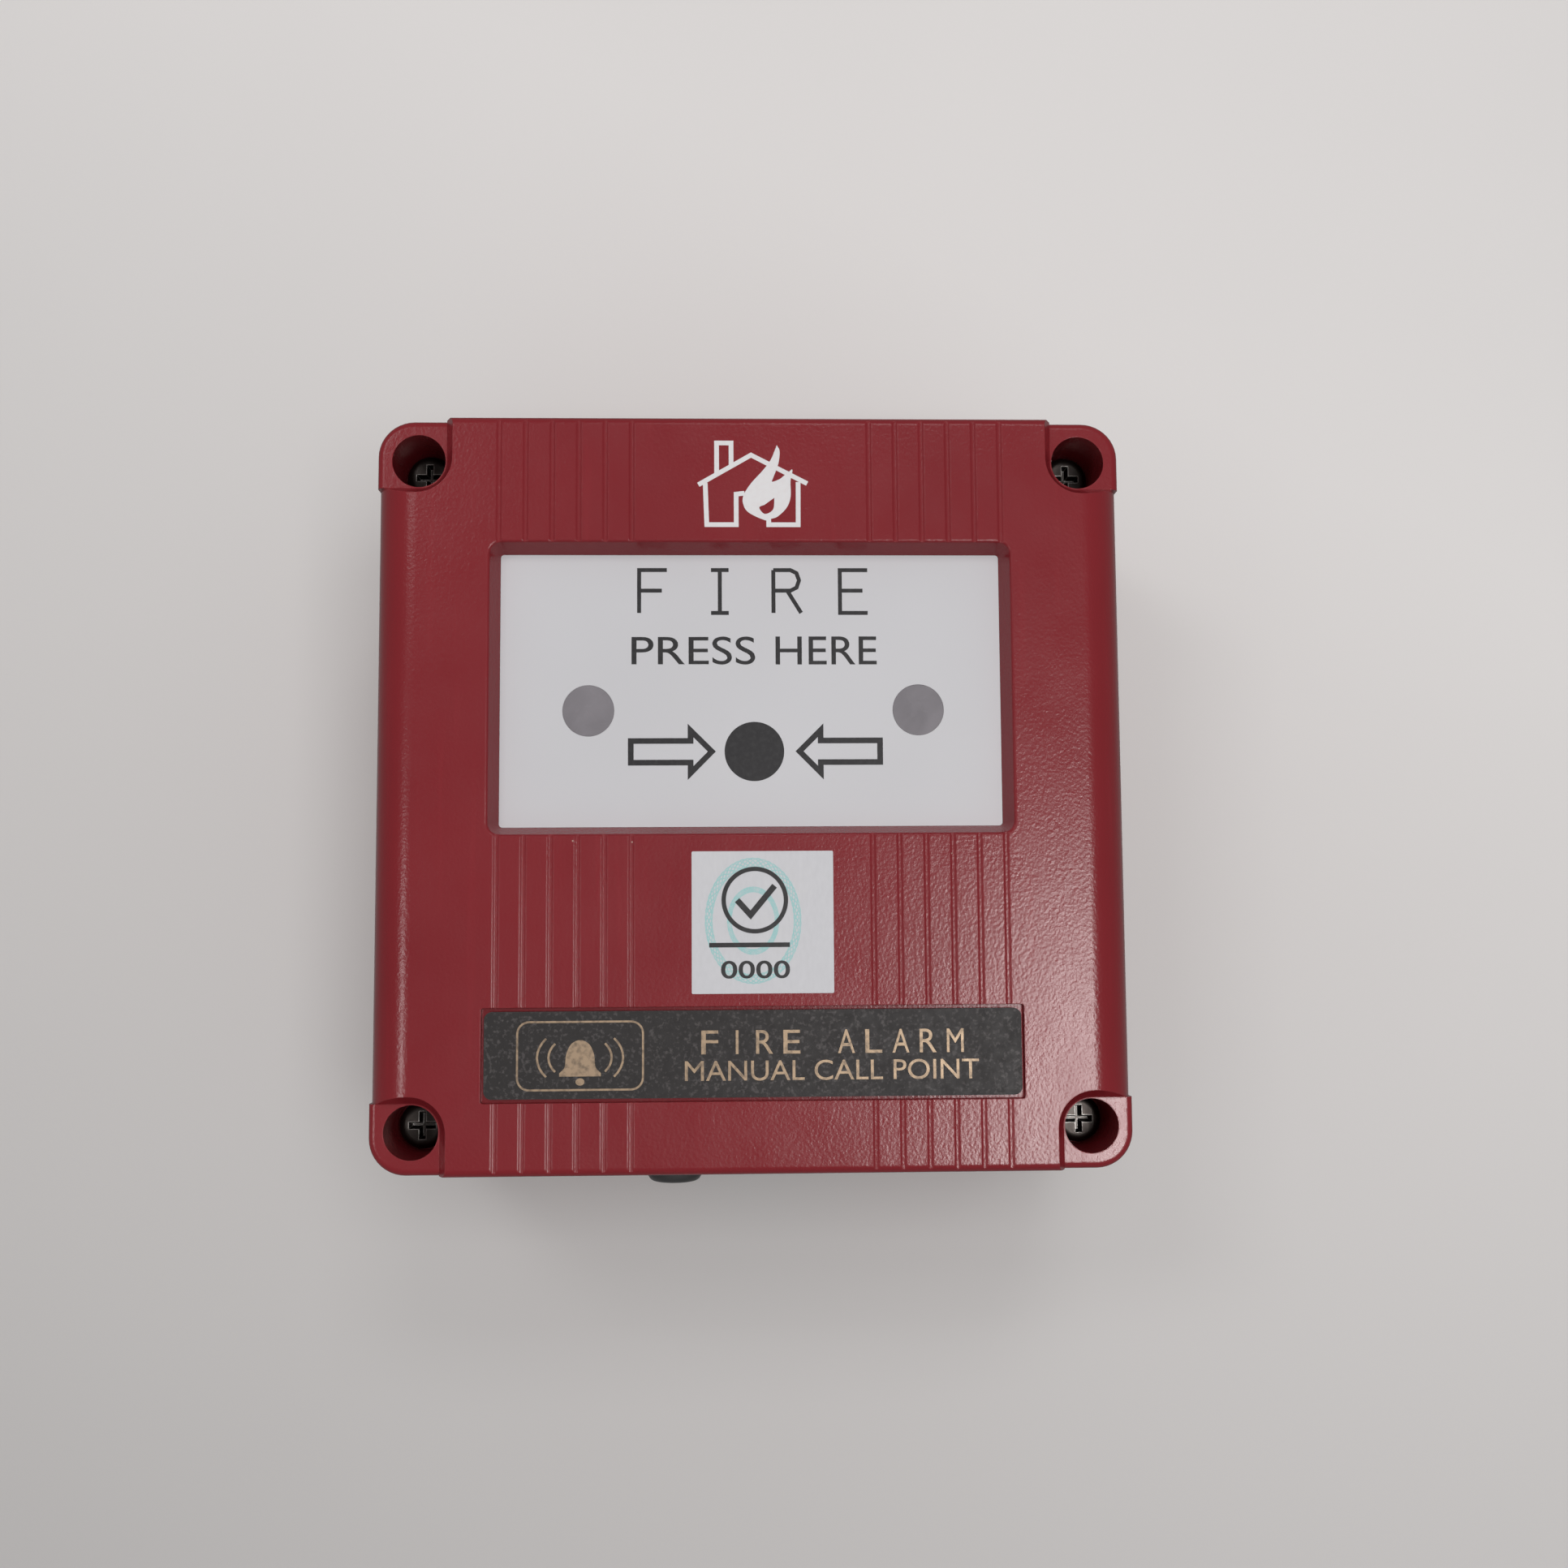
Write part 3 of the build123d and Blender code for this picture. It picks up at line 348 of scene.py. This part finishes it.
def laminate():
    """Green circuit board: solder resist over copper tracks that run in two directions."""
    look = Look("board_green")
    across = look.noise(0.0011, 0.0, stretch=(1.0, 1.0, 0.12))
    along = look.noise(0.0011, 0.0, stretch=(0.12, 1.0, 1.0))
    tracks = look.maths("MAXIMUM", across, along)
    copper = look.ranged(tracks, 0.0, 1.0, 0.60, 0.62)
    body = look.mixed(copper, BOARD_GREEN, shade(BOARD_GREEN, 1.9))
    weave = look.ranged(look.noise(0.0006, 1.0), 0.0, 0.25)
    look.set(Base_Color=look.mixed(weave, body, shade(BOARD_GREEN, 1.4)))
    look.set(Roughness=look.ranged(look.noise(0.002, 3.0), 0.24, 0.36))
    look.set(Normal=look.bumped(copper, 0.00003, look.rounded(0.0001)))
    return look.material


def clear_resin():
    """Water-clear LED resin with a cloudy heart."""
    look = Look("led_clear")
    cloud = look.ranged(look.noise(0.0009, 2.0), 0.0, 1.0)
    look.set(Base_Color=look.mixed(cloud, shade(LED_CLEAR, 0.85), LED_CLEAR))
    look.set(Roughness=look.ranged(look.noise(0.0006, 2.0), 0.05, 0.14))
    look.set(Normal=look.bumped(look.noise(0.0008, 2.0), 0.000003, look.rounded(0.0001)))
    look.surface.inputs["Transmission Weight"].default_value = 0.55
    look.surface.inputs["IOR"].default_value = 1.53
    return look.material


def ink(name, colour, roughness, metallic=0.0, thin=0.12, worn_to=(0.6, 0.6, 0.6)):
    """Screen-printed ink that lies a little thin in places."""
    look = Look(name)
    density = look.ranged(look.noise(0.0007, 5.0), 0.0, thin, 0.45, 0.75)
    look.set(Base_Color=look.mixed(density, colour, worn_to))
    look.set(Metallic=metallic)
    look.set(Specular_IOR_Level=0.20)
    look.set(Roughness=look.ranged(look.noise(0.0010, 3.0), roughness - 0.05, roughness + 0.05))
    look.set(Normal=look.bumped(look.noise(0.00025, 3.0), 0.000003))
    return look.material


NODE_LOOKS = {
    "red_plastic": red_cover(),
    "white_plate": smooth_plate(),
    "grey_lens": smoked_lens(),
    "black_frame": moulded("black_frame", FRAME_BLACK, 0.48),
    "grey_chassis": moulded("grey_chassis", CHASSIS_GREY, 0.50),
    "natural_plastic": moulded("natural_plastic", ACETAL, 0.38, depth=0.000003, tone=0.03),
    "black_rubber": soft_rubber(),
    "steel": metal("steel", STEEL, 0.28),
    # the dark screw heads' pale edges are painted glints, as well as edge wear
    "dark_steel": metal("dark_steel", DARK_STEEL, 0.42, wear_and_glint_colour=(0.75, 0.73, 0.70),
                        edge_radius=0.00022),
    "zinc_steel": metal("zinc_steel", ZINC, 0.38, tarnish=(0.40, 0.37, 0.27)),
    "brass": metal("brass", BRASS, 0.30, tarnish=(0.30, 0.17, 0.06)),
    "nameplate_black": anodised_plate(),
    "label_white": paper_label(),
    "board_green": laminate(),
    "terminal_green": moulded("terminal_green", TERMINAL_GREEN, 0.42),
    "chip_black": moulded("chip_black", CHIP_BLACK, 0.55, grain=0.0001, depth=0.000004),
    "capacitor_sleeve": moulded("capacitor_sleeve", SLEEVE_BLUE, 0.26, depth=0.000002),
    "led_clear": clear_resin(),
    "black_plastic": moulded("black_plastic", FRAME_BLACK, 0.42, grain=0.0007),
}
BLACK_INK = ink("black_ink", INK_BLACK, 0.42, worn_to=(0.12, 0.12, 0.12))
WHITE_INK = ink("white_ink", INK_WHITE, 0.45, worn_to=(0.55, 0.40, 0.40))
GOLD_INK = ink("gold_ink", INK_GOLD, 0.42, metallic=0.35, thin=0.80, worn_to=(0.09, 0.07, 0.055))
TEAL_INK = ink("teal_ink", INK_TEAL, 0.50, thin=0.5, worn_to=LABEL)

for part in frame["record"]["subparts"]:
    node = frame["nodes"][part["node"]]
    for slot in node.material_slots:
        slot.material = NODE_LOOKS[part["material_slot"]]


# ================================================================ outlines, in millimetres
def offset(points, distance, closed=True):
    """The points moved sideways by distance, to the left of the way they run, with mitred corners."""
    moved = []
    count = len(points)
    for i, point in enumerate(points):
        here = Vector(point)
        before = Vector(points[i - 1]) if closed or i > 0 else None
        after = Vector(points[(i + 1) % count]) if closed or i < count - 1 else None
        ways = []
        if before is not None:
            ways.append((here - before).normalized())
        if after is not None:
            ways.append((after - here).normalized())
        sides = [Vector((-way.y, way.x)) for way in ways]
        middle = sum(sides, Vector((0.0, 0.0))).normalized()
        moved.append(tuple(here + middle * (distance / middle.dot(sides[0]))))
    return moved


def stroke(points, thickness):
    """Shape of a line of even thickness along an open path."""
    left = offset(points, thickness / 2, closed=False)
    right = offset(points, -thickness / 2, closed=False)
    return [left + right[::-1]]


def ring(points, thickness):
    """Shape of a line of even thickness just inside a closed path that runs anticlockwise."""
    return [points, offset(points, thickness)]


def ellipse(x, z, radius_x, radius_z, count=72, waves=0, swell=0.0, phase=0.0):
    """Points round an ellipse, anticlockwise, with an optional wavy edge."""
    points = []
    for i in range(count):
        angle = 2 * math.pi * i / count
        reach = 1.0 + swell * math.sin(waves * angle + phase)
        points.append((x + radius_x * reach * math.cos(angle), z + radius_z * reach * math.sin(angle)))
    return points


def rounded_rectangle(x0, z0, x1, z1, radius, count=8):
    """Points round a rectangle with rounded corners, anticlockwise."""
    points = []
    corners = [(x1, z0, -90), (x1, z1, 0), (x0, z1, 90), (x0, z0, 180)]
    for x, z, start in corners:
        centre_x = x - radius if x == x1 else x + radius
        centre_z = z - radius if z == z1 else z + radius
        for i in range(count + 1):
            angle = math.radians(start + 90 * i / count)
            points.append((centre_x + radius * math.cos(angle), centre_z + radius * math.sin(angle)))
    return points


def smoothed(points, sharp, steps=6):
    """A closed path through the points, curved except at those whose number is in sharp."""
    path = []
    count = len(points)
    for i in range(count):
        p0, p1, p2, p3 = (Vector(points[(i + k) % count]) for k in (-1, 0, 1, 2))
        leave = (p2 - p0) / 2 if i not in sharp else (p2 - p1)
        arrive = (p3 - p1) / 2 if (i + 1) % count not in sharp else (p2 - p1)
        for k in range(steps):
            t = k / steps
            path.append(tuple(
                p1 * (2 * t**3 - 3 * t**2 + 1) + leave * (t**3 - 2 * t**2 + t)
                + p2 * (3 * t**2 - 2 * t**3) + arrive * (t**3 - t**2)
            ))
    return path


def mirrored(points, about_x):
    """The same closed path reflected left to right, still anticlockwise."""
    return [(2 * about_x - x, z) for x, z in points][::-1]


# ================================================================ print on the surfaces
def anticlockwise(loop):
    """The closed path, turned round if it runs clockwise."""
    area = sum(a[0] * b[1] - b[0] * a[1] for a, b in zip(loop, loop[1:] + loop[:1]))
    return loop if area > 0 else loop[::-1]


def filled(shapes):
    """A thin flat mesh in x and y of shapes that may overlap, each an outline followed by its holes."""
    points, faces, owners = [], [], []
    for number, loops in enumerate(shapes):
        for place, loop in enumerate(loops):
            start = len(points)
            points += [Vector(point) for point in anticlockwise(loop)]
            faces.append(list(range(start, len(points))))
            owners.append((number, place > 0))
    spots, _, triangles, _, _, sources = delaunay_2d_cdt(points, [], faces, 1, 0.00001)
    covered = []
    for triangle, source in zip(triangles, sources):
        solid = {owners[k][0] for k in source if not owners[k][1]}
        empty = {owners[k][0] for k in source if owners[k][1]}
        if solid - empty:
            covered.append(list(triangle))
    half = PRINT_THICKNESS / 2
    count = len(spots)
    vertices = [(x, y, half) for x, y in spots] + [(x, y, -half) for x, y in spots]
    sides = {(a, b) for t in covered for a, b in zip(t, t[1:] + t[:1])}
    rims = [[b, a, a + count, b + count] for a, b in sorted(sides) if (b, a) not in sides]
    backs = [[k + count for k in reversed(t)] for t in covered]
    mesh = bpy.data.meshes.new("flat")
    mesh.from_pydata(vertices, [], covered + backs + rims)
    return mesh


def lettered(words, x0, z0, x1, z1, weight=0.0):
    """A thin flat mesh of words that fills the box."""
    curve = bpy.data.curves.new("words", "FONT")
    curve.body = words
    curve.size = z1 - z0
    curve.extrude = PRINT_THICKNESS / 2
    curve.offset = weight
    curve.resolution_u = 6
    holder = bpy.data.objects.new("holder", curve)
    bpy.context.scene.collection.objects.link(holder)
    graph = bpy.context.evaluated_depsgraph_get()
    mesh = bpy.data.meshes.new_from_object(holder.evaluated_get(graph))
    bpy.data.objects.remove(holder)
    low = Vector(min(v.co[k] for v in mesh.vertices) for k in (0, 1))
    high = Vector(max(v.co[k] for v in mesh.vertices) for k in (0, 1))
    for vertex in mesh.vertices:
        share_x = (vertex.co.x - low.x) / (high.x - low.x)
        share_z = (vertex.co.y - low.y) / (high.y - low.y)
        vertex.co.x = x0 + (x1 - x0) * share_x
        vertex.co.y = z0 + (z1 - z0) * share_z
    return mesh


def spaced(letters, x0, z0, x1, z1, share=0.62):
    """Words with every letter as wide as the next and a wide space between them."""
    pitch = (x1 - x0) / (len(letters) - 1 + share)
    meshes = []
    for i, letter in enumerate(letters):
        if letter != " ":
            centre = x0 + pitch * (i + share / 2)
            reach = pitch * (0.05 if letter == "I" else share / 2)
            meshes.append(lettered(letter, centre - reach, z0, centre + reach, z1))
    return meshes


def printed(name, meshes, surface_y, material, body):
    """One piece of print made of flat meshes in millimetres, laid on the front of a surface."""
    vertices, faces = [], []
    lift = PRINT_THICKNESS / 2
    for mesh in meshes:
        base = len(vertices)
        for vertex in mesh.vertices:
            x, z, out = vertex.co
            vertices.append((x * MM, (surface_y - lift - out) * MM, z * MM))
        faces += [[base + i for i in face.vertices] for face in mesh.polygons]
        bpy.data.meshes.remove(mesh)
    data = bpy.data.meshes.new(name)
    data.from_pydata(vertices, [], faces)
    data.materials.append(material)
    data.update()
    piece = bpy.data.objects.new(name, data)
    bpy.context.scene.collection.objects.link(piece)
    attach(piece, body)


# ---------------------------------------------------------------- press plate
LETTER_LOW, LETTER_HIGH = 25.6, 32.5
LETTER_WIDTH, LETTER_STROKE = 4.6, 0.58
LETTER_CENTRES = {"F": -14.2, "I": -4.5, "R": 5.3, "E": 15.0}
LETTER_PATHS = {                   # in shares of the letter's width and height
    "F": [[(0, 0), (0, 1), (1, 1)], [(0, 0.52), (0.82, 0.52)]],
    "I": [[(0.5, 0), (0.5, 1)], [(0.18, 1), (0.82, 1)], [(0.18, 0), (0.82, 0)]],
    "R": [[(0, 0), (0, 1)],
          [(0, 1), (0.62, 1), (0.84, 0.93), (0.93, 0.76), (0.84, 0.59), (0.62, 0.52), (0, 0.52)],
          [(0.5, 0.52), (1, 0)]],
    "E": [[(1, 1), (0, 1), (0, 0), (1, 0)], [(0, 0.52), (0.82, 0.52)]],
}


def letter_strokes(letter):
    """Shapes of one letter of the warning word."""
    inset = LETTER_STROKE / 2
    low_x = LETTER_CENTRES[letter] - LETTER_WIDTH / 2 + inset
    low_z = LETTER_LOW + inset
    run_x = LETTER_WIDTH - LETTER_STROKE
    run_z = LETTER_HIGH - LETTER_LOW - LETTER_STROKE
    paths = [[(low_x + run_x * u, low_z + run_z * v) for u, v in path] for path in LETTER_PATHS[letter]]
    return [stroke(path, LETTER_STROKE) for path in paths]


def on_plate(name, meshes):
    """Black print on the press plate."""
    printed(name, meshes, PLATE_Y, BLACK_INK, "call_plate")


on_plate("warning_word", [filled([shape for c in LETTER_CENTRES for shape in letter_strokes(c)])])

WORDS_LOW, WORDS_HIGH = 18.32, 22.42
on_plate("instruction_words", [
    lettered("PRESS", -17.3, WORDS_LOW, 0.6, WORDS_HIGH),
    lettered("HERE", 3.55, WORDS_LOW, 18.25, WORDS_HIGH),
])

ARROW_STROKE = 0.82
ARROWS_MIDDLE = 0.60
DOT_X, DOT_Z, DOT_RADIUS = 0.41, 5.65, 4.30
arrow_left = [(-17.8, 3.66), (-9.2, 3.66), (-9.2, 1.55), (-5.15, 5.66),
              (-9.2, 9.70), (-9.2, 7.62), (-17.8, 7.62)]
arrow_right = mirrored(arrow_left, ARROWS_MIDDLE)
on_plate("arrow_left", [filled([ring(arrow_left, ARROW_STROKE)])])
on_plate("arrow_right", [filled([ring(arrow_right, ARROW_STROKE)])])
on_plate("press_dot", [filled([[ellipse(DOT_X, DOT_Z, DOT_RADIUS, DOT_RADIUS)]])])

# ---------------------------------------------------------------- burning house
HOUSE_STROKE = 0.68
house_lines = [
    [(-7.53, 43.92), (0.07, 48.31), (8.16, 44.13)],
    [(-6.54, 44.20), (-6.33, 38.08), (-2.09, 38.08), (-2.09, 42.55), (-0.89, 42.69)],
    [(2.58, 38.94), (2.58, 38.08), (6.82, 38.08), (6.86, 44.35)],
    [(-4.89, 45.28), (-4.89, 50.08), (-2.80, 50.08), (-2.80, 46.80)],
]
flame = [
    (2.08, 38.73), (2.93, 38.94), (3.92, 39.31), (5.19, 40.60), (5.76, 42.19), (5.76, 44.49),
    (6.04, 45.93), (5.97, 46.25), (5.47, 45.79), (4.91, 45.36), (4.20, 44.78), (3.21, 44.39),
    (3.07, 44.49), (3.85, 46.51), (4.13, 47.66), (4.20, 48.96), (3.81, 49.79), (3.49, 48.96),
    (2.86, 47.52), (1.66, 45.93), (0.10, 44.20), (-1.00, 42.47), (-1.10, 41.18), (-0.32, 39.88),
]
flame_tips = {7, 12, 16}
flame_heart = [(2.15, 41.11), (3.42, 42.04), (3.21, 40.31), (2.01, 39.66), (1.23, 40.60), (2.08, 41.03)]
heart_tips = {1, 5}
burning = [smoothed(flame, flame_tips), smoothed(flame_heart, heart_tips)]
printed("burning_house",
        [filled([stroke(line, HOUSE_STROKE) for line in house_lines] + [burning])],
        PLATEAU_Y, WHITE_INK, "housing")

# ---------------------------------------------------------------- approval label
label_low, label_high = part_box("approval_label")
label_x = label_low.x / MM
label_top = label_high.z / MM


def on_label(points):
    """Points given in millimetres from the label's left edge and down from its top."""
    return [(label_x + x, label_top - down) for x, down in points]


rosette_x, rosette_z = on_label([(8.65, 9.8)])[0]
rosette = []
for turn in range(6):
    for reach in (0.52, 0.96):
        wavy = ellipse(rosette_x, rosette_z, 6.6 * reach, 8.6 * reach, count=180,
                       waves=9, swell=0.075, phase=turn * math.pi / 3)
        rosette.append(ring(wavy, 0.16))
printed("label_rosette", [filled(rosette)], LABEL_Y, TEAL_INK, "housing")

mark_x, mark_z = on_label([(8.9, 6.9)])[0]
tick = on_label([(6.4, 6.9), (8.3, 9.0), (11.7, 4.9)])
label_bar = on_label([(2.45, 13.2), (13.8, 13.2)])
digits = on_label([(4.1, 17.9), (13.8, 15.4)])
label_ring = ring(ellipse(mark_x, mark_z, 4.7, 4.7), 0.62)
printed("label_mark",
        [filled([label_ring, stroke(tick, 0.85), stroke(label_bar, 0.65)]),
         lettered("0000", *digits[0], *digits[1], weight=0.03)],
        LABEL_Y - PRINT_THICKNESS / 2, BLACK_INK, "housing")

# ---------------------------------------------------------------- nameplate
bell_x, bell_base = -24.2, -40.2
wave_centre = bell_base + 2.6
wave_squash = 0.72
wave_half_angle = 38
bell = [
    (2.9, 0.0), (2.9, 0.45), (2.15, 1.3), (1.95, 3.0), (1.35, 4.35), (0.45, 4.95),
    (-0.45, 4.95), (-1.35, 4.35), (-1.95, 3.0), (-2.15, 1.3), (-2.9, 0.45), (-2.9, 0.0),
]
bell_outline = smoothed([(bell_x + x, bell_base + z) for x, z in bell], {0, 1, 10, 11})
waves = []
for side in (-1, 1):
    for radius in (4.4, 6.0):
        arc = []
        for step in range(9):
            angle = math.radians(wave_half_angle * (step / 4 - 1))
            x = bell_x + side * radius * math.cos(angle)
            arc.append((x, wave_centre + radius * wave_squash * math.sin(angle)))
        waves.append(stroke(arc, 0.30))
symbol_frame = ring(rounded_rectangle(-33.1, -42.2, -15.3, -32.5, 1.8), 0.28)
clapper = ellipse(bell_x, bell_base - 0.75, 0.62, 0.5)
printed("nameplate_symbol", [filled([symbol_frame, [bell_outline], [clapper]] + waves)],
        NAMEPLATE_Y, GOLD_INK, "housing")
printed("nameplate_words",
        spaced("FIRE ALARM", -7.3, -37.3, 29.6, -34.0)
        + [lettered("MANUAL CALL POINT", -9.6, -41.0, 31.7, -38.2)],
        NAMEPLATE_Y, GOLD_INK, "housing")


# ================================================================ wall, light and camera
def pale_wall(size=6.0, gap=0.0002):
    """A pale wall right behind the object, darkened towards the lower left by painted shade. Only its
    front shows, so it doesn't hide the object's back.
    """
    data = bpy.data.meshes.new("wall")
    reach = size / 2
    corners = [(-reach, gap, -reach), (reach, gap, -reach), (reach, gap, reach), (-reach, gap, reach)]
    data.from_pydata(corners, [], [[0, 1, 2, 3]])
    wall = bpy.data.objects.new("wall", data)
    bpy.context.scene.collection.objects.link(wall)
    look = Look("pale_wall")
    cloud = look.ranged(look.noise(0.12, 3.0), 0.0, 1.0)
    body = look.mixed(cloud, shade(WALL_PAPER, 0.985), shade(WALL_PAPER, 1.01))
    # painted shade: the wall's colour darkens towards the lower left, where the light falls off
    painted_falloff = look.along((0.55, 0.0, 1.0), -0.21, 0.12)
    body = look.mixed(painted_falloff, shade(WALL_PAPER, 0.66), body)
    flecks = look.ranged(look.cells(0.030), 1.0, 0.0, 0.008, 0.016)
    rare = look.ranged(look.noise(0.07, 2.0), 0.0, 0.45, 0.55, 0.62)
    look.set(Base_Color=look.mixed(look.maths("MULTIPLY", flecks, rare), body, (0.42, 0.40, 0.39)))
    look.set(Roughness=0.75)
    look.set(Normal=look.bumped(look.noise(0.0016, 3.0), 0.00002))

    # clear from behind
    clear = look.nodes.new("ShaderNodeBsdfTransparent")
    sided = look.nodes.new("ShaderNodeMixShader")
    facing = look.nodes.new("ShaderNodeNewGeometry")
    output = next(n for n in look.nodes if n.type == "OUTPUT_MATERIAL")
    look.links.new(facing.outputs["Backfacing"], sided.inputs["Fac"])
    look.links.new(look.surface.outputs["BSDF"], sided.inputs[1])
    look.links.new(clear.outputs["BSDF"], sided.inputs[2])
    look.links.new(sided.outputs["Shader"], output.inputs["Surface"])
    data.materials.append(look.material)
    wall.visible_shadow = False
    wall.visible_diffuse = False
    wall.visible_glossy = False
    wall.visible_transmission = False


def area_light(name, place, width, height, power, colour):
    """A rectangular lamp that points at the object and isn't seen by the camera."""
    lamp = bpy.data.lights.new(name, "AREA")
    lamp.shape = "RECTANGLE"
    lamp.size, lamp.size_y = width, height
    lamp.energy = power
    lamp.color = colour
    holder = bpy.data.objects.new(name, lamp)
    bpy.context.scene.collection.objects.link(holder)
    holder.location = place
    holder.rotation_mode = "QUATERNION"
    holder.rotation_quaternion = (-Vector(place)).to_track_quat("-Z", "Y")
    holder.visible_camera = False
    return holder


pale_wall()

# two small lamps above, whose shadows fall below the object on both sides
area_light("key", (0.10, -0.80, 0.48), width=0.26, height=0.16, power=0.82, colour=KEY_WHITE)
area_light("second", (-0.37, -0.80, 0.34), width=0.26, height=0.16, power=0.82, colour=COOL_WHITE)

# a large soft lamp in front, that no glossy surface shows
fill = area_light("fill", (0.10, -1.0, 0.0), width=0.60, height=0.56, power=4.8, colour=COOL_WHITE)
fill.visible_glossy = False

# two lamps that only glossy surfaces show: the sheen at the lower right and on the left shoulder
glare = area_light("glare", (0.20, -0.64, -0.115), width=0.12, height=0.22, power=2.5, colour=WARM_WHITE)
side_glare = area_light("side_glare", (-0.42, -0.65, -0.09), width=0.11, height=0.16, power=0.90,
                        colour=WARM_WHITE)
for lamp in (glare, side_glare):
    lamp.visible_diffuse = False

world = bpy.data.worlds.new("room")
world.use_nodes = True
bpy.context.scene.world = world
sky = world.node_tree.nodes["Background"]
sky.inputs["Color"].default_value = SKY
sky.inputs["Strength"].default_value = SKY_STRENGTH

camera_data = bpy.data.cameras.new("camera")
camera_data.lens = LENS
camera_data.sensor_width = SENSOR
camera_data.clip_start = 0.01
camera = bpy.data.objects.new("camera", camera_data)
bpy.context.scene.collection.objects.link(camera)
camera.location = CAMERA_PLACE
camera.rotation_euler = [math.radians(a) for a in CAMERA_TURN]
bpy.context.scene.camera = camera
bpy.context.scene.view_settings.view_transform = "Standard"
